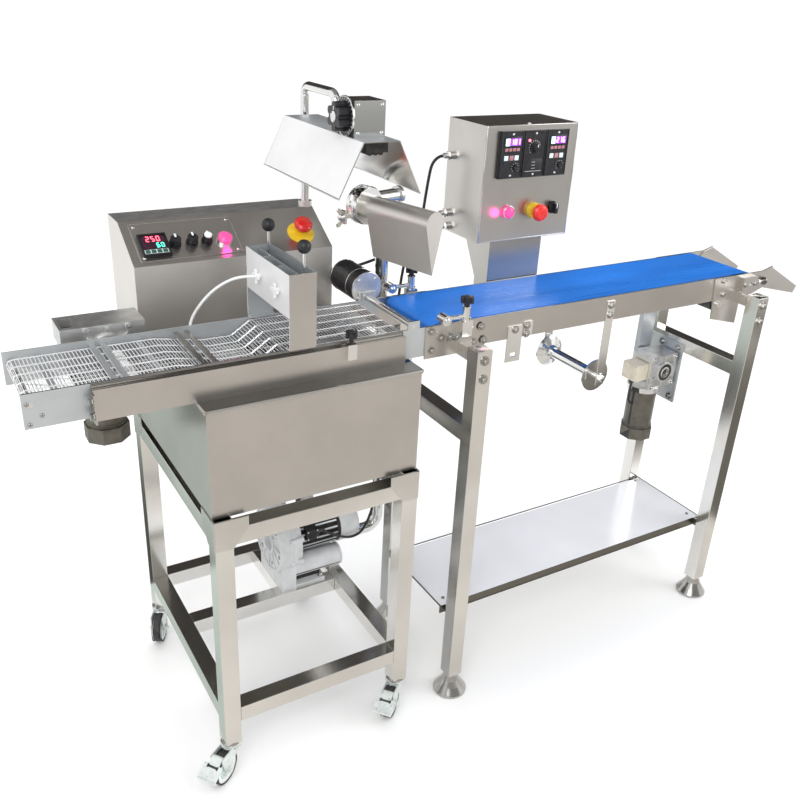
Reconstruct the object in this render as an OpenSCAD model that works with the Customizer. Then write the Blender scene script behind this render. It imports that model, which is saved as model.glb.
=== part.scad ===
// Chocolate enrober on casters with a docked cooling conveyor.
// Belts run along X, Y points to the back of the machine and Z is up.
// The origin is on the floor, under the front left levelling foot of the conveyor.

/* [Stand tubes] */
// Outside width of the square frame tube
tube = 38; // [34:1:42]
// Wall of the square frame tube
tube_wall = 2; // [1.5:0.5:3]

/* [Enrober stand] */
// Length of the stand along the belts
stand_l = 460; // [440:5:500]
// Depth of the stand from front to back
stand_d = 565; // [550:5:600]
// Height of the leg tops, where the tank rests
stand_h = 673; // [640:1:700]
// Underside of the low rails above the floor
low_rail_z = 150; // [140:1:180]
// Gap between the high rails and the tank
rail_gap = 23; // [15:1:40]
// Arm of the corner plates at the leg tops
corner_arm = 70; // [60:1:90]
// Thickness of the corner plates
corner_t = 2; // [1.5:0.5:3]

/* [Casters] */
// Height of the leg ends above the floor
caster_h = 95; // [92:1:105]
// Diameter of the caster wheels
wheel_d = 75; // [70:1:76]
// Width of the caster wheels
wheel_w = 24; // [20:1:28]
// Distance of the wheel axle from the swivel axis
trail = 35; // [32:1:38]
// Diameter of the wheel axle
axle_d = 8; // [6:1:10]
// Diameter of the swivel pin
kingpin_d = 12; // [10:1:14]

/* [Tank] */
// Height of the tank
tank_h = 235; // [200:5:260]
// Setback of the tank from the front of the legs
tank_set = 12; // [6:1:16]
// Depth of the tank from front to back
tank_d = 545; // [530:5:550]
// Sheet thickness of the tank, the trough and the cabinet
sheet = 2; // [1.5:0.5:3]
// Drop of the rounded rim below the tank top
rim_h = 10; // [6:1:14]

/* [Mesh bed] */
// Distance of the trough from the front of the legs
trough_y = 51; // [45:1:60]
// Width of the trough across the belt
trough_w = 224; // [216:2:240]
// Height of the trough
trough_h = 60; // [50:1:64]
// Overhang of the trough to the left of the stand
trough_left = 186; // [160:2:200]
// Distance of the right end of the trough from the right legs
trough_right = 18; // [10:1:30]
// Overhang of the infeed plates to the left of the trough
infeed_l = 111; // [90:1:130]
// Distance of the bed plates from the walls of the trough
plate_in = 9; // [8:1:14]
// Thickness of the bed plates
plate_t = 3; // [2:0.5:4]
// Height of the bed plate tops above the tank
plate_top = 69; // [66:1:76]
// Height of the wire mesh above the tank at the infeed
mesh_lift = 56; // [54:1:58]
// Depth of the dip of the mesh before the curtain
mesh_dip = 18; // [8:1:20]
// Wire thickness of the mesh belt
wire = 2; // [1.5:0.5:2.5]
// Pitch of the cross wires of the mesh belt
wire_pitch = 9; // [8:0.5:12]
// Gap between the mesh belt and each bed plate
mesh_gap = 5; // [3:0.5:8]

/* [Shafts and rollers] */
// Diameter of the shafts of the mesh bed and the conveyor
shaft_d = 16; // [12:1:18]
// Diameter of the mesh drive sprockets
sprocket_d = 32; // [28:1:33]
// Diameter of the mesh nose rollers
nose_d = 14; // [12:1:16]
// Diameter of the detailing roller at the mesh outlet
detail_d = 14; // [10:1:16]
// Diameter of the conveyor nose roller
tip_d = 24; // [20:1:28]
// Diameter of the conveyor tail roller
tail_d = 48; // [44:1:50]
// Diameter of the conveyor drive roller
drive_d = 40; // [36:1:44]
// Clearance round each running shaft
run = 0.06; // [0.03:0.01:0.1]

/* [Curtain box] */
// Distance of the curtain box from the left legs
curtain_x = 185; // [180:1:200]
// Length of the curtain box along the belt
curtain_l = 56; // [50:1:60]
// Height of the chocolate trough of the curtain box
curtain_h = 86; // [80:1:100]
// Free height over the bed plates under the curtain box
curtain_gap = 64; // [50:1:80]
// Diameter of the ball knobs on the gate rods
ball_d = 27; // [24:1:30]
// Lift of the gates
gate_lift = 25; // [10:1:30]

/* [Control cabinet] */
// Length of the control cabinet
cab_l = 450; // [440:5:460]
// Depth of the control cabinet
cab_d = 190; // [180:5:200]
// Height of the front wall of the cabinet
cab_front = 164; // [150:2:180]
// Height of the cabinet
cab_h = 232; // [220:2:250]
// Depth of the flat top of the cabinet
cab_top = 81; // [70:1:90]

/* [Heat lamp] */
// Outside diameter of the lamp pipe
lamp_pipe = 20; // [16:1:22]
// Height of the lamp pipe above the cabinet
lamp_rise = 267; // [250:1:290]
// Reach of the lamp pipe to the front
lamp_reach = 155; // [140:1:170]
// Length of the lamp hood
hood_l = 365; // [340:5:375]
// Width of the top of the hood
hood_top = 80; // [70:2:100]
// Width of the open mouth of the hood
hood_mouth = 182; // [160:2:200]
// Height of the hood
hood_h = 103; // [90:1:110]
// Sheet thickness of the hood
hood_t = 1.5; // [1:0.5:2]

/* [Air knife and pipe] */
// Outside diameter of the air pipe
pipe_d = 32; // [28:1:36]
// Length of the air knife along its lower edge
knife_l = 175; // [160:5:190]
// Diameter of the round top of the air knife
knife_d = 50; // [46:1:56]
// Distance from the axis of the air knife down to its lip
knife_drop = 107; // [90:1:115]
// Turn of the air knife away from square across the belt
knife_yaw = 15; // [10:1:18]
// Height of the lip of the air knife above the conveyor belt
knife_gap = 102; // [90:1:115]
// Diameter of the pipe clamp
clamp_d = 78; // [70:1:84]

/* [Blower] */
// Distance of the blower from the left legs
blow_x = 272; // [262:1:280]
// Diameter of the scroll of the blower
scroll_d = 176; // [160:2:184]
// Width of the scroll of the blower
scroll_w = 44; // [38:1:50]
// Diameter of the blower motor
blow_motor_d = 96; // [86:2:98]
// Length of the blower motor
blow_motor_l = 125; // [110:1:135]
// Diameter of the two silencers
silencer_d = 58; // [50:1:60]
// Length of the two silencers
silencer_l = 122; // [110:1:130]

/* [Conveyor] */
// Step from the bed plates up to the conveyor belt
belt_step = 1; // [0:0.5:3]
// Distance of the belt end from the right legs of the stand
belt_gap = 52; // [48:1:60]
// Thickness of the belt
belt_t = 2; // [1.5:0.5:3]
// Distance from the nose of the belt to the axle of the tail roller
belt_run = 978; // [950:2:1000]
// Height of the side rails
rail_h = 62; // [58:1:66]
// Thickness of the side rails
rail_t = 3; // [2:0.5:4]
// Gap between the belt and each side rail
belt_side = 3; // [2:0.5:6]
// Distance between the left and the right legs
leg_pitch = 877; // [860:1:890]
// Distance of the left legs from the belt end
leg_in = 64; // [55:1:80]
// Gap between the front rail and the front legs
leg_front = 43; // [35:1:50]
// Gap between the back rail and the back legs
leg_back = 32; // [28:1:50]
// Height of the levelling feet
foot_h = 54; // [45:1:60]
// Diameter of the levelling feet
foot_d = 84; // [74:1:90]
// Height of the lower shelf
shelf_z = 235; // [200:5:300]
// Underside of the cross tubes between the conveyor legs
cross_z = 712; // [690:1:730]

/* [Conveyor drive] */
// Distance of the drive roller from the tail roller
drive_back = 95; // [90:1:105]
// Drop of the gearbox below the drive roller
gear_drop = 245; // [230:1:255]
// Width and height of the worm gearboxes
gear_s = 96; // [90:2:100]
// Diameter of the motors of the worm gearboxes
motor_d = 80; // [70:2:84]
// Length of the motors of the worm gearboxes
motor_l = 150; // [130:5:160]

/* [Paper spindle] */
// Distance of the paper spindle from the belt end
spindle_x = 503; // [490:1:520]
// Drop of the spindle below the rails
spindle_drop = 150; // [140:1:165]
// Diameter of the spindle discs
disc_d = 82; // [70:1:90]
// Diameter of the spindle tube
core_d = 28; // [24:1:34]

/* [Speed control box] */
// Distance of the box from the belt end
box_x = 245; // [235:1:260]
// Width of the box
box_w = 267; // [260:1:280]
// Depth of the box
box_d = 150; // [140:2:160]
// Height of the box
box_h = 267; // [260:1:280]
// Height of the box over the belt
box_lift = 98; // [90:1:110]
// Width of each speed module
mod_w = 64; // [58:1:66]
// Height of each speed module
mod_h = 106; // [98:1:110]

/* [Hidden] */
$fn = 48;
eps = 0.01;
// Gap between curved faces of pieces that move past each other
clear = 0.3;
// Seam between pieces that are welded end to face
weld = 0.2;
// Heights, from the floor up
tank_top = stand_h + tank_h;
trough_top = tank_top + trough_h;
plates_z = tank_top + plate_top;
mesh_z = tank_top + mesh_lift;
mesh_z2 = mesh_z + 10;
belt_z = plates_z + belt_step;
rail_top = belt_z - 1;
rail_z = rail_top - rail_h;
cab_z = tank_top + cab_h;
high_rail_z = stand_h - rail_gap - tube;
low_rail_top = low_rail_z + tube;
// Lengths, from the left front leg of the stand
trough_x0 = -trough_left;
trough_x1 = stand_l - trough_right;
infeed_x = trough_x0 - infeed_l;
belt_x = stand_l + belt_gap;
leg_x = belt_x + leg_in;
tail_x = belt_x + belt_run;
drive_x = tail_x - drive_back;
nose_x = infeed_x + 14;
outlet_x = trough_x1 - 6;
shaft_x = -100;
detail_x = trough_x1 + 24;
rail_x0 = belt_x - 18;
rail_x1 = tail_x - 60;
// Depths, from the front of the stand
trough_y1 = trough_y + trough_w;
plate_y0 = trough_y + sheet + plate_in;
plate_y1 = trough_y1 - sheet - plate_in;
mesh_y0 = plate_y0 + plate_t + mesh_gap;
mesh_y1 = plate_y1 - plate_t - mesh_gap;
rail_y0 = plate_y0;
rail_y1 = plate_y1;
belt_y0 = rail_y0 + rail_t + belt_side;
belt_y1 = rail_y1 - rail_t - belt_side;
front_leg_y = rail_y0 - leg_front - tube;
back_leg_y = rail_y1 + leg_back;
leg_axis_y = front_leg_y + tube / 2;
cab_y0 = tank_set + tank_d + 13 - cab_d;
cab_y1 = cab_y0 + cab_d;
cab_x0 = -15;
mid_y = stand_d * 0.558;
// Slope of the cabinet front
slope_run = cab_d - cab_top;
slope_rise = cab_h - cab_front;
slope_a = atan2(slope_rise, slope_run);
slope_l = norm([slope_run, slope_rise]);
// Swivel pins of the casters, with the direction that each wheel trails in
casters = [
    [tube / 2, tube / 2, -145],
    [stand_l - tube / 2, tube / 2, -139],
    [tube / 2, stand_d - tube / 2, -119],
    [stand_l - tube / 2, stand_d - tube / 2, -128]];
plug_t = 6;
race_h = 5;
fork_gap = 1.5;
arm_t = 2.5;
fork_y = wheel_w / 2 + fork_gap;
pedal_x = trail + 15;
pedal_z = wheel_d / 2 + 40.5;
pedal_pin = 5;
pedal_droop = 30;
// Air knife and riser
knife_x = stand_l + 54;
knife_y = 80;
knife_z = belt_z + knife_gap + knife_drop;
knife_neck = 32;
clamp_l = 16;
elbow_s = knife_l + knife_neck + clamp_l + 12;
riser_s = 88;
vent_s = 130;
// Lamp
post_x = cab_x0 + cab_l - 12;
post_y = cab_y1 - 68;
hood_x = post_x - 23;
hood_y = post_y - lamp_pipe - 12 - hood_l;
hood_z = cab_z + lamp_rise - 58;
arm_y = post_y - lamp_reach;
dial_box = 68;
dial_y = hood_y + 52;
dial_z = hood_z + dial_box / 2 + 2;
socket_h = 12;
// Control box
cbx = belt_x + box_x;
cby = rail_y1;
cbz = belt_z + box_lift;
// Conveyor legs
leg_top = rail_z + 20;
// Tail and nose of the conveyor belt
belt_in = belt_z - belt_t;
tip_x = belt_x + tip_d / 2 + belt_t;
tip_z = belt_in - tip_d / 2;
tail_z = belt_in - tail_d / 2;
drive_z = tail_z - tail_d / 2 - belt_t - drive_d / 2 - 1;
end_t = 3;
axle = 10;
guard_y = rail_y1 + end_t + 18;
gear_w = gear_s * 0.8;
hub_out = 6;
guard_t = 16;
gear_z = drive_z - gear_drop;
gear_y = guard_y - guard_t / 2 - gear_w / 2 - hub_out;
mount_x = leg_x + leg_pitch;
mount_t = 5;

steel = [0.78, 0.78, 0.76];
bright = [0.86, 0.86, 0.85];
dark = [0.12, 0.12, 0.13];
white = [0.93, 0.93, 0.92];
red = [0.85, 0.12, 0.12];
motor_grey = [0.3, 0.31, 0.32];

// Moves the machine so that the origin lies under the front left levelling foot
module place() {
    translate([-leg_x - tube / 2, -leg_axis_y, 0]) children();
}

// Box between two corners
module box(p, q) {
    translate(p) cube(q - p);
}

// Cylinders along Y and X
module rod_y(d, l) {
    rotate([-90, 0, 0]) cylinder(d = d, h = l);
}
module rod_x(d, l) {
    rotate([0, 90, 0]) cylinder(d = d, h = l);
}

// Open square tube along Z, X and Y, from its lowest corner
module tube_z(l) {
    difference() {
        cube([tube, tube, l]);
        translate([tube_wall, tube_wall, -1])
            cube([tube - 2 * tube_wall, tube - 2 * tube_wall, l + 2]);
    }
}
module tube_x(l) {
    translate([0, 0, tube]) rotate([0, 90, 0]) tube_z(l);
}
module tube_y(l) {
    translate([0, 0, tube]) rotate([-90, 0, 0]) tube_z(l);
}

// Lobed grip of a star knob, standing on its base
module star_grip(d, h) {
    cylinder(d = d * 0.7, h = h);
    for (a = [0:60:300]) rotate(a) translate([d * 0.36, 0, 0]) cylinder(d = d * 0.28, h = h);
}

// Enrober stand
module enrober_legs() place() color(steel) {
    for (c = casters) {
        translate([c[0] - tube / 2, c[1] - tube / 2, caster_h]) tube_z(stand_h - caster_h);
        difference() {
            union() {
                translate([c[0] - tube / 2, c[1] - tube / 2, caster_h - plug_t]) cube([tube, tube, plug_t]);
                translate([c[0], c[1], caster_h - plug_t - race_h]) cylinder(d = tube + 8, h = race_h);
            }
            translate([c[0], c[1], caster_h - plug_t - race_h - 1])
                cylinder(d = kingpin_d + 2 * run, h = plug_t + race_h + 2);
        }
    }
}

module enrober_rails() place() color(steel) {
    inner_l = stand_l - 2 * tube - 2 * weld;
    inner_d = stand_d - 2 * tube - 2 * weld;
    for (z = [low_rail_z, high_rail_z]) {
        for (y = [0, stand_d - tube]) translate([tube + weld, y, z]) tube_x(inner_l);
        for (x = [0, stand_l - tube]) translate([x, tube + weld, z]) tube_y(inner_d);
    }
    translate([tube + weld, mid_y, low_rail_z]) tube_x(inner_l);
    for (k = [0.6, 0.8])
        translate([stand_l * k, mid_y + tube + weld, low_rail_z])
            tube_y(stand_d - 2 * tube - mid_y - 2 * weld);
}

// Corner plate with a hollow inner edge, flat in XZ
module corner_plate() {
    rotate([90, 0, 0]) translate([0, 0, -corner_t]) linear_extrude(corner_t) difference() {
        polygon([[0, 0], [corner_arm, 0], [corner_arm, -rail_gap], [tube, -rail_gap - tube - 6],
            [0, -rail_gap - tube - 6]]);
        translate([corner_arm, -rail_gap - tube]) circle(r = tube * 0.6);
    }
}

module frame_plates() place() color(bright) {
    for (m = [0, 1]) translate([m * stand_l, 0, stand_h]) mirror([m, 0, 0]) {
        translate([0, -corner_t, 0]) corner_plate();
        translate([0, stand_d, 0]) corner_plate();
        for (n = [0, 1]) translate([0, n * stand_d, 0]) mirror([0, n, 0])
            translate([-corner_t, 0, 0]) rotate(90) mirror([0, 1, 0]) corner_plate();
    }
    for (x = [leg_x, leg_x + leg_pitch]) {
        leg_bracket(x, front_leg_y + tube, rail_y0 - end_t);
        leg_bracket(x, rail_y1 + end_t, back_leg_y);
    }
}

// Folded bracket from the rail side to the face of a conveyor leg
bracket_h = 27;
bracket_z = rail_z - 10;
bracket_t = 3;
module leg_bracket(x, ya, yb) {
    box([x, ya, bracket_z], [x + bracket_t, yb, bracket_z + bracket_h]);
    box([x, ya, bracket_z], [x + tube, ya + bracket_t, bracket_z + bracket_h]);
    box([x, yb - bracket_t, bracket_z], [x + tube, yb, bracket_z + bracket_h]);
}

// Tank with a flat deck and an open mouth under the bed
tank_mouth_y0 = trough_y + 24;
tank_mouth_y1 = trough_y1 - 24;
module tank() place() color(steel) {
    mouth_x0 = 30;
    mouth_x1 = trough_x1 - 30;
    difference() {
        union() {
            box([0, tank_set, tank_top - tank_h], [stand_l, tank_set + tank_d, tank_top]);
            translate([0, tank_set, tank_top - rim_h / 2]) rod_x(rim_h, stand_l);
            translate([stand_l, tank_set, tank_top - rim_h / 2]) rod_y(rim_h, tank_d);
            translate([0, tank_set, tank_top - rim_h / 2]) rod_y(rim_h, tank_d);
        }
        box([sheet, tank_set + sheet, tank_top - tank_h + sheet],
            [stand_l - sheet, tank_set + tank_d - sheet, tank_top - sheet]);
        box([mouth_x0, tank_mouth_y0, tank_top - rim_h], [mouth_x1, tank_mouth_y1, tank_top + rim_h]);
        translate([feed_x, feed_y, tank_top - rim_h]) cylinder(d = feed_d + 2 * clear, h = 2 * rim_h);
    }
}

// Trough that carries the mesh bed and drains into the tank
module bed_trough() place() color(steel) {
    lip = 7;
    cut_x0 = 126;
    cut_x1 = 186;
    difference() {
        union() {
            box([trough_x0, trough_y, tank_top], [trough_x1, trough_y + sheet, trough_top]);
            box([trough_x0, trough_y, trough_top - sheet], [trough_x1, trough_y + lip, trough_top]);
            box([trough_x0, trough_y1 - sheet, tank_top], [trough_x1, trough_y1, trough_top]);
            box([trough_x0, trough_y, tank_top], [30, trough_y1, tank_top + sheet]);
            box([trough_x1 - 30, trough_y, tank_top], [trough_x1, trough_y1, tank_top + sheet]);
        }
        box([cut_x0, trough_y1 - 10, trough_top - 22], [cut_x1, trough_y1 + 1, trough_top + 1]);
        translate([shaft_x, trough_y1 - 10, drive_shaft_z]) rod_y(shaft_d + 8, 20);
    }
    for (y = [trough_y - 14, trough_y1])
        box([trough_x0, y, tank_top], [trough_x0 + 3, y + 14, trough_top - 4]);
}

// Side plates of the mesh bed with their cross bars
drive_shaft_z = mesh_z - wire - sprocket_d / 2 - 0.5;
mesh_turns = 4;
mesh_r = (nose_d / 2 + clear + wire / 2) / cos(90 / mesh_turns);
nose_z = mesh_z - wire / 2 - mesh_r;
outlet_z = mesh_z2 - wire / 2 - mesh_r;
detail_z = plates_z + 5;
bar_d = 8;
low_bars = [infeed_x + 70, 20, 250, 360];
low_bar_z = tank_top + 30;
skids = [infeed_x + 60, shaft_x + 50];
top_bars = [-138, -118, 26, 48];
module bed_frame() place() color(white) {
    foot = 4;
    for (y = [plate_y0, plate_y1 - plate_t]) difference() {
        union() {
            box([infeed_x, y, tank_top + foot], [rail_x0, y + plate_t, plates_z]);
            box([trough_x0 + 20, y, tank_top + sheet], [20, y + plate_t, tank_top + foot]);
            box([detail_x - 14, y, plates_z - 1], [detail_x + 14, y + plate_t, detail_z + 12]);
        }
        for (p = [[shaft_x, drive_shaft_z, shaft_d], [nose_x, nose_z, axle], [detail_x, detail_z, axle]])
            translate([p[0], y - 1, p[1]]) rod_y(p[2] + 2 * run, plate_t + 2);
    }
    for (x = low_bars) translate([x, plate_y0 + plate_t, low_bar_z])
        rod_y(bar_d, plate_y1 - plate_y0 - 2 * plate_t);
    translate([outlet_x, plate_y0 + plate_t, outlet_z]) rod_y(nose_d, plate_y1 - plate_y0 - 2 * plate_t);
    for (x = skids)
        box([x - 6, plate_y0 + plate_t, mesh_z - wire - 5], [x + 6, plate_y1 - plate_t, mesh_z - wire]);
    for (x = top_bars) box([x - 5, plate_y0 + plate_t, mesh_z + 2],
        [x + 5, plate_y1 - plate_t, mesh_z + 5]);
}

// Flat stretch of wire mesh between two points of the XZ plane, with a cross wire at each pitch
mesh_lines = 5;
function grid_cells(n) = [for (i = [0:n - 1], j = [0:mesh_lines - 2]) [i, j]];
module mesh_run(p, q, trim_p, trim_q) {
    w = mesh_y1 - mesh_y0;
    l = norm(q - p) - trim_p - trim_q;
    n = max(1, round(l / wire_pitch));
    dx = (l - wire) / n;
    dy = (w - wire) / (mesh_lines - 1);
    cells = grid_cells(n);
    outer = [[0, 0], [l, 0], [l, w], [0, w]];
    holes = [for (c = cells, k = [[0, 0], [1, 0], [1, 1], [0, 1]])
        [c[0] * dx + (k[0] == 0 ? wire : dx), c[1] * dy + (k[1] == 0 ? wire : dy)]];
    paths = concat([[0, 1, 2, 3]], [for (i = [0:len(cells) - 1]) [for (k = [0:3]) 4 + 4 * i + k]]);
    translate([p[0], mesh_y0, p[1]]) rotate([0, -atan2(q[1] - p[1], q[0] - p[0]), 0])
        translate([trim_p, 0, -wire / 2]) linear_extrude(wire) polygon(concat(outer, holes), paths);
}

function arc(c, r, a0, a1, n) = [for (i = [0:n]) let (a = a0 + (a1 - a0) * i / n) c + r * [cos(a), sin(a)]];
return_z = tank_top + 14;
mesh_path = concat(
    [[curtain_x - 205, mesh_z - wire / 2], [curtain_x - 105, mesh_z - mesh_dip - wire / 2],
        [curtain_x - 45, mesh_z - mesh_dip - wire / 2], [curtain_x - 3, mesh_z2 - wire / 2]],
    arc([outlet_x, outlet_z], mesh_r, 90, -90, mesh_turns),
    [[outlet_x - 70, return_z], [infeed_x + 110, return_z]],
    arc([nose_x, nose_z], mesh_r, 270, 90, mesh_turns));
mesh_n = len(mesh_path);
function heading(i) = let (d = mesh_path[(i + 1) % mesh_n] - mesh_path[i % mesh_n]) atan2(d[1], d[0]);
function turn(i) = let (a = heading(i) - heading(i + mesh_n - 1)) abs(a - 360 * round(a / 360));
function mesh_trim(i) = wire / 2 * tan(turn(i) / 2) + weld / 2;
module mesh_belt() place() color(bright) {
    for (i = [0:mesh_n - 1])
        mesh_run(mesh_path[i], mesh_path[(i + 1) % mesh_n], mesh_trim(i), mesh_trim(i + 1));
}

// Curtain box: a trough on two end walls that bridge the bed
box_y0 = plate_y0 - 6;
box_y1 = plate_y1 + 6;
curtain_z = plates_z + curtain_gap;
curtain_top = curtain_z + curtain_h;
rod_d = 6;
rod_top = curtain_top + gate_lift + 9;
gate_x = curtain_x + curtain_l * 0.72;
gate_y = [box_y0 + 22, box_y1 - 22];
module curtain_box() place() color(bright) {
    x1 = curtain_x + curtain_l;
    mid = curtain_x + curtain_l / 2;
    slot = 5;
    foot_w = 18;
    difference() {
        union() {
            box([curtain_x, box_y0, curtain_z], [x1, box_y1, curtain_top]);
            for (y = [box_y0, box_y1 - sheet]) box([curtain_x, y, plates_z], [x1, y + sheet, curtain_z]);
            for (y = [box_y0, box_y1 - foot_w])
                box([curtain_x, y, plates_z], [x1, y + foot_w, plates_z + sheet]);
        }
        difference() {
            box([curtain_x + sheet, box_y0 + sheet, curtain_z + sheet],
                [x1 - sheet, box_y1 - sheet, curtain_top + 1]);
            for (k = [0.38, 0.7]) translate([0, (box_y1 - box_y0) * k, 0])
                box([curtain_x, box_y0, curtain_z], [mid - 2, box_y0 + sheet, curtain_top - 6]);
            box([mid - 2, box_y0, curtain_z + 22], [mid, box_y1, curtain_top - 6]);
        }
        for (x = [curtain_x + 12, x1 - 12]) box([x, box_y0 + 14, curtain_z - 1],
            [x + slot, box_y1 - 14, curtain_z + sheet + 1]);
        translate([feed_x, box_y1 - 10, feed_top]) rod_y(feed_d - 4, 20);
    }
    for (k = [0.24, 0.68])
        translate([curtain_x - 10, box_y0 + (box_y1 - box_y0) * k, curtain_z + curtain_h / 2]) {
        rod_x(10, 10);
        box([0, -16, -3], [4, 16, 3]);
        box([0, -3, -14], [4, 3, 14]);
    }
}

// Rod with a ball knob that lifts the gate of one curtain slot
module gate_rod(y) {
    gate_z = curtain_z + sheet + clear;
    translate([gate_x, y, gate_z]) {
        translate([-8, -10, 0]) cube([16, 20, 8]);
        cylinder(d = rod_d, h = rod_top - gate_z);
        translate([0, 0, rod_top - gate_z + ball_d * 0.4]) sphere(d = ball_d);
    }
}
module gate_rod_front() place() color(dark) gate_rod(gate_y[0]);
module gate_rod_back() place() color(dark) gate_rod(gate_y[1]);

// Pump in the tank and the pipe that feeds the curtain box from behind
feed_d = 18;
feed_x = curtain_x + 14;
feed_y = trough_y1 + 16;
feed_top = curtain_z + 30;
module chocolate_feed() place() color(steel) {
    x = feed_x;
    top = feed_top;
    floor_z = tank_top - tank_h + sheet;
    translate([x, feed_y, floor_z]) cylinder(d = 60, h = 70);
    difference() {
        union() {
            translate([x, feed_y, floor_z + 70]) cylinder(d = feed_d, h = top - floor_z - 70);
            translate([x, box_y1, top]) rod_y(feed_d, feed_y - box_y1);
            translate([x, feed_y, top]) sphere(d = feed_d);
        }
        translate([x, box_y1 - 1, top]) rod_y(feed_d - 4, feed_y - box_y1);
    }
}

// Control cabinet behind the bed, open below
module cab_side(t) {
    z1 = tank_top + cab_front;
    drop = t / cos(slope_a) - t * tan(slope_a);
    back = cab_y0 + (slope_rise - t + t / cos(slope_a)) / tan(slope_a);
    polygon([[cab_y0 + t, tank_top - t], [cab_y0 + t, z1 - drop], [back, cab_z - t],
        [cab_y1 - t, cab_z - t], [cab_y1 - t, tank_top - t]]);
}
module cab_outline() {
    polygon([[cab_y0, tank_top], [cab_y0, tank_top + cab_front], [cab_y1 - cab_top, cab_z],
        [cab_y1, cab_z], [cab_y1, tank_top]]);
}

// Frame of the sloping front: u along the cabinet, v up the slope, w out of it
module on_slope(u, v) {
    translate([cab_x0, cab_y0, tank_top + cab_front]) rotate([slope_a, 0, 0]) translate([u, v, 0]) children();
}
panel_u = 18;
panel_l = 222;
panel_v = 11;
panel_h = slope_l - 22;
panel_t = 2;
row_v = slope_l * 0.38;
knob_u = [99, 136, 169];
button_u = 209;
stop_u = 390;
stop_stem = 20;
knob_stem = 6;
meter_u = 55;
meter_s = 60;
module control_cabinet() place() color(steel) {
    difference() {
        union() {
            translate([cab_x0, 0, 0]) rotate([90, 0, 90]) linear_extrude(cab_l) cab_outline();
            translate([post_x, post_y, cab_z - sheet / 2])
                cylinder(d = lamp_pipe + 12, h = socket_h + sheet / 2);
        }
        translate([cab_x0 + sheet, 0, 0]) rotate([90, 0, 90])
            linear_extrude(cab_l - 2 * sheet) cab_side(sheet);
        on_slope(panel_u + 10, panel_v + 10) translate([0, 0, -10]) cube([panel_l - 20, panel_h - 20, 20]);
        on_slope(stop_u, row_v) translate([0, 0, -10]) cylinder(d = stop_stem + 2 * clear, h = 20);
        translate([post_x, post_y, cab_z]) cylinder(d = lamp_pipe + 2 * run, h = socket_h + 1);
    }
}

// Instrument plate with the temperature controller, the button ring and the stop button base
module instrument_panel() place() {
    color(steel) difference() {
        on_slope(panel_u, panel_v) cube([panel_l, panel_h, panel_t]);
        for (u = knob_u) on_slope(u, row_v) translate([0, 0, -1]) cylinder(d = knob_stem + 2 * run, h = 9);
        on_slope(button_u, row_v) translate([0, 0, -1]) cylinder(d = stop_stem + 2 * clear, h = 9);
        on_slope(meter_u, row_v) translate([-meter_s / 2 + 2, -meter_s / 2 + 2, -1])
            cube([meter_s - 4, meter_s - 4, 9]);
    }
    color(dark) on_slope(meter_u, row_v) translate([-meter_s / 2, -meter_s / 2, panel_t])
        cube([meter_s, meter_s, 7]);
    color(bright) on_slope(button_u, row_v) translate([0, 0, panel_t]) difference() {
        cylinder(d = 38, h = 7);
        translate([0, 0, -1]) cylinder(d = 31, h = 9);
    }
    color("gold") on_slope(stop_u, row_v) difference() {
        union() {
            cylinder(d = 62, h = 2);
            cylinder(d = 34, h = 12);
        }
        translate([0, 0, -1]) cylinder(d = stop_stem + 2 * clear, h = 14);
    }
}

// Turning knob with a pointer rib, its stem in the instrument plate
module panel_knob(d) {
    translate([0, 0, -8]) cylinder(d = knob_stem, h = 8 + panel_t + 4);
    translate([0, 0, panel_t + clear]) cylinder(d = d, h = 5);
    translate([0, 0, panel_t + 5]) cylinder(d = d * 0.82, h = 15);
    translate([-3, 0, panel_t + 19]) cube([6, d * 0.4, 3]);
}
module heat_knob() place() color(dark) on_slope(knob_u[0], row_v) panel_knob(26);
module pump_knob() place() color(dark) on_slope(knob_u[1], row_v) panel_knob(26);
module air_knob() place() color(dark) on_slope(knob_u[2], row_v) panel_knob(24);
module lit_button() place() color("hotpink") on_slope(button_u, row_v) {
    translate([0, 0, -14]) cylinder(d = stop_stem, h = 22);
    translate([0, 0, panel_t + 4]) cylinder(d = 30, h = 7);
    translate([0, 0, panel_t + 11]) cylinder(d1 = 30, d2 = 22, h = 3);
}

// Mushroom head of a stop button, with its stem
module mushroom() {
    translate([0, 0, -12]) cylinder(d = stop_stem, h = 32);
    translate([0, 0, 18]) cylinder(d1 = 30, d2 = 40, h = 6);
    translate([0, 0, 24]) cylinder(d = 40, h = 8);
    translate([0, 0, 32]) cylinder(d1 = 40, d2 = 32, h = 4);
}
module cabinet_stop() place() color(red) on_slope(stop_u, row_v) mushroom();

// Heat lamp: bent pipe in the cabinet socket, hood with its dial box, and the dial
bend_r = 24;
module bend(d, r) {
    rotate_extrude(angle = 90) translate([r, 0]) circle(d = d);
}
module lamp_arm() place() color(bright) {
    top = cab_z + lamp_rise;
    translate([post_x, post_y, cab_z + clear]) cylinder(d = lamp_pipe, h = lamp_rise - bend_r - clear);
    translate([post_x, post_y - bend_r, top - bend_r]) rotate([90, 0, 90]) bend(lamp_pipe, bend_r);
    translate([post_x, arm_y + bend_r, top]) rod_y(lamp_pipe, lamp_reach - 2 * bend_r);
    translate([post_x, arm_y + bend_r, top - bend_r]) rotate([90, 0, -90]) bend(lamp_pipe, bend_r);
    translate([post_x, arm_y, hood_z]) cylinder(d = lamp_pipe, h = top - bend_r - hood_z);
}
module hood_section(t) {
    a = atan2((hood_mouth - hood_top) / 2, hood_h);
    top_w = hood_top / 2 - (t == 0 ? 0 : t / cos(a) - t * tan(a));
    mouth_w = hood_mouth / 2 - t / cos(a);
    polygon([[-top_w, -t], [top_w, -t], [mouth_w, -hood_h - t * eps], [-mouth_w, -hood_h - t * eps]]);
}
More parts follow.
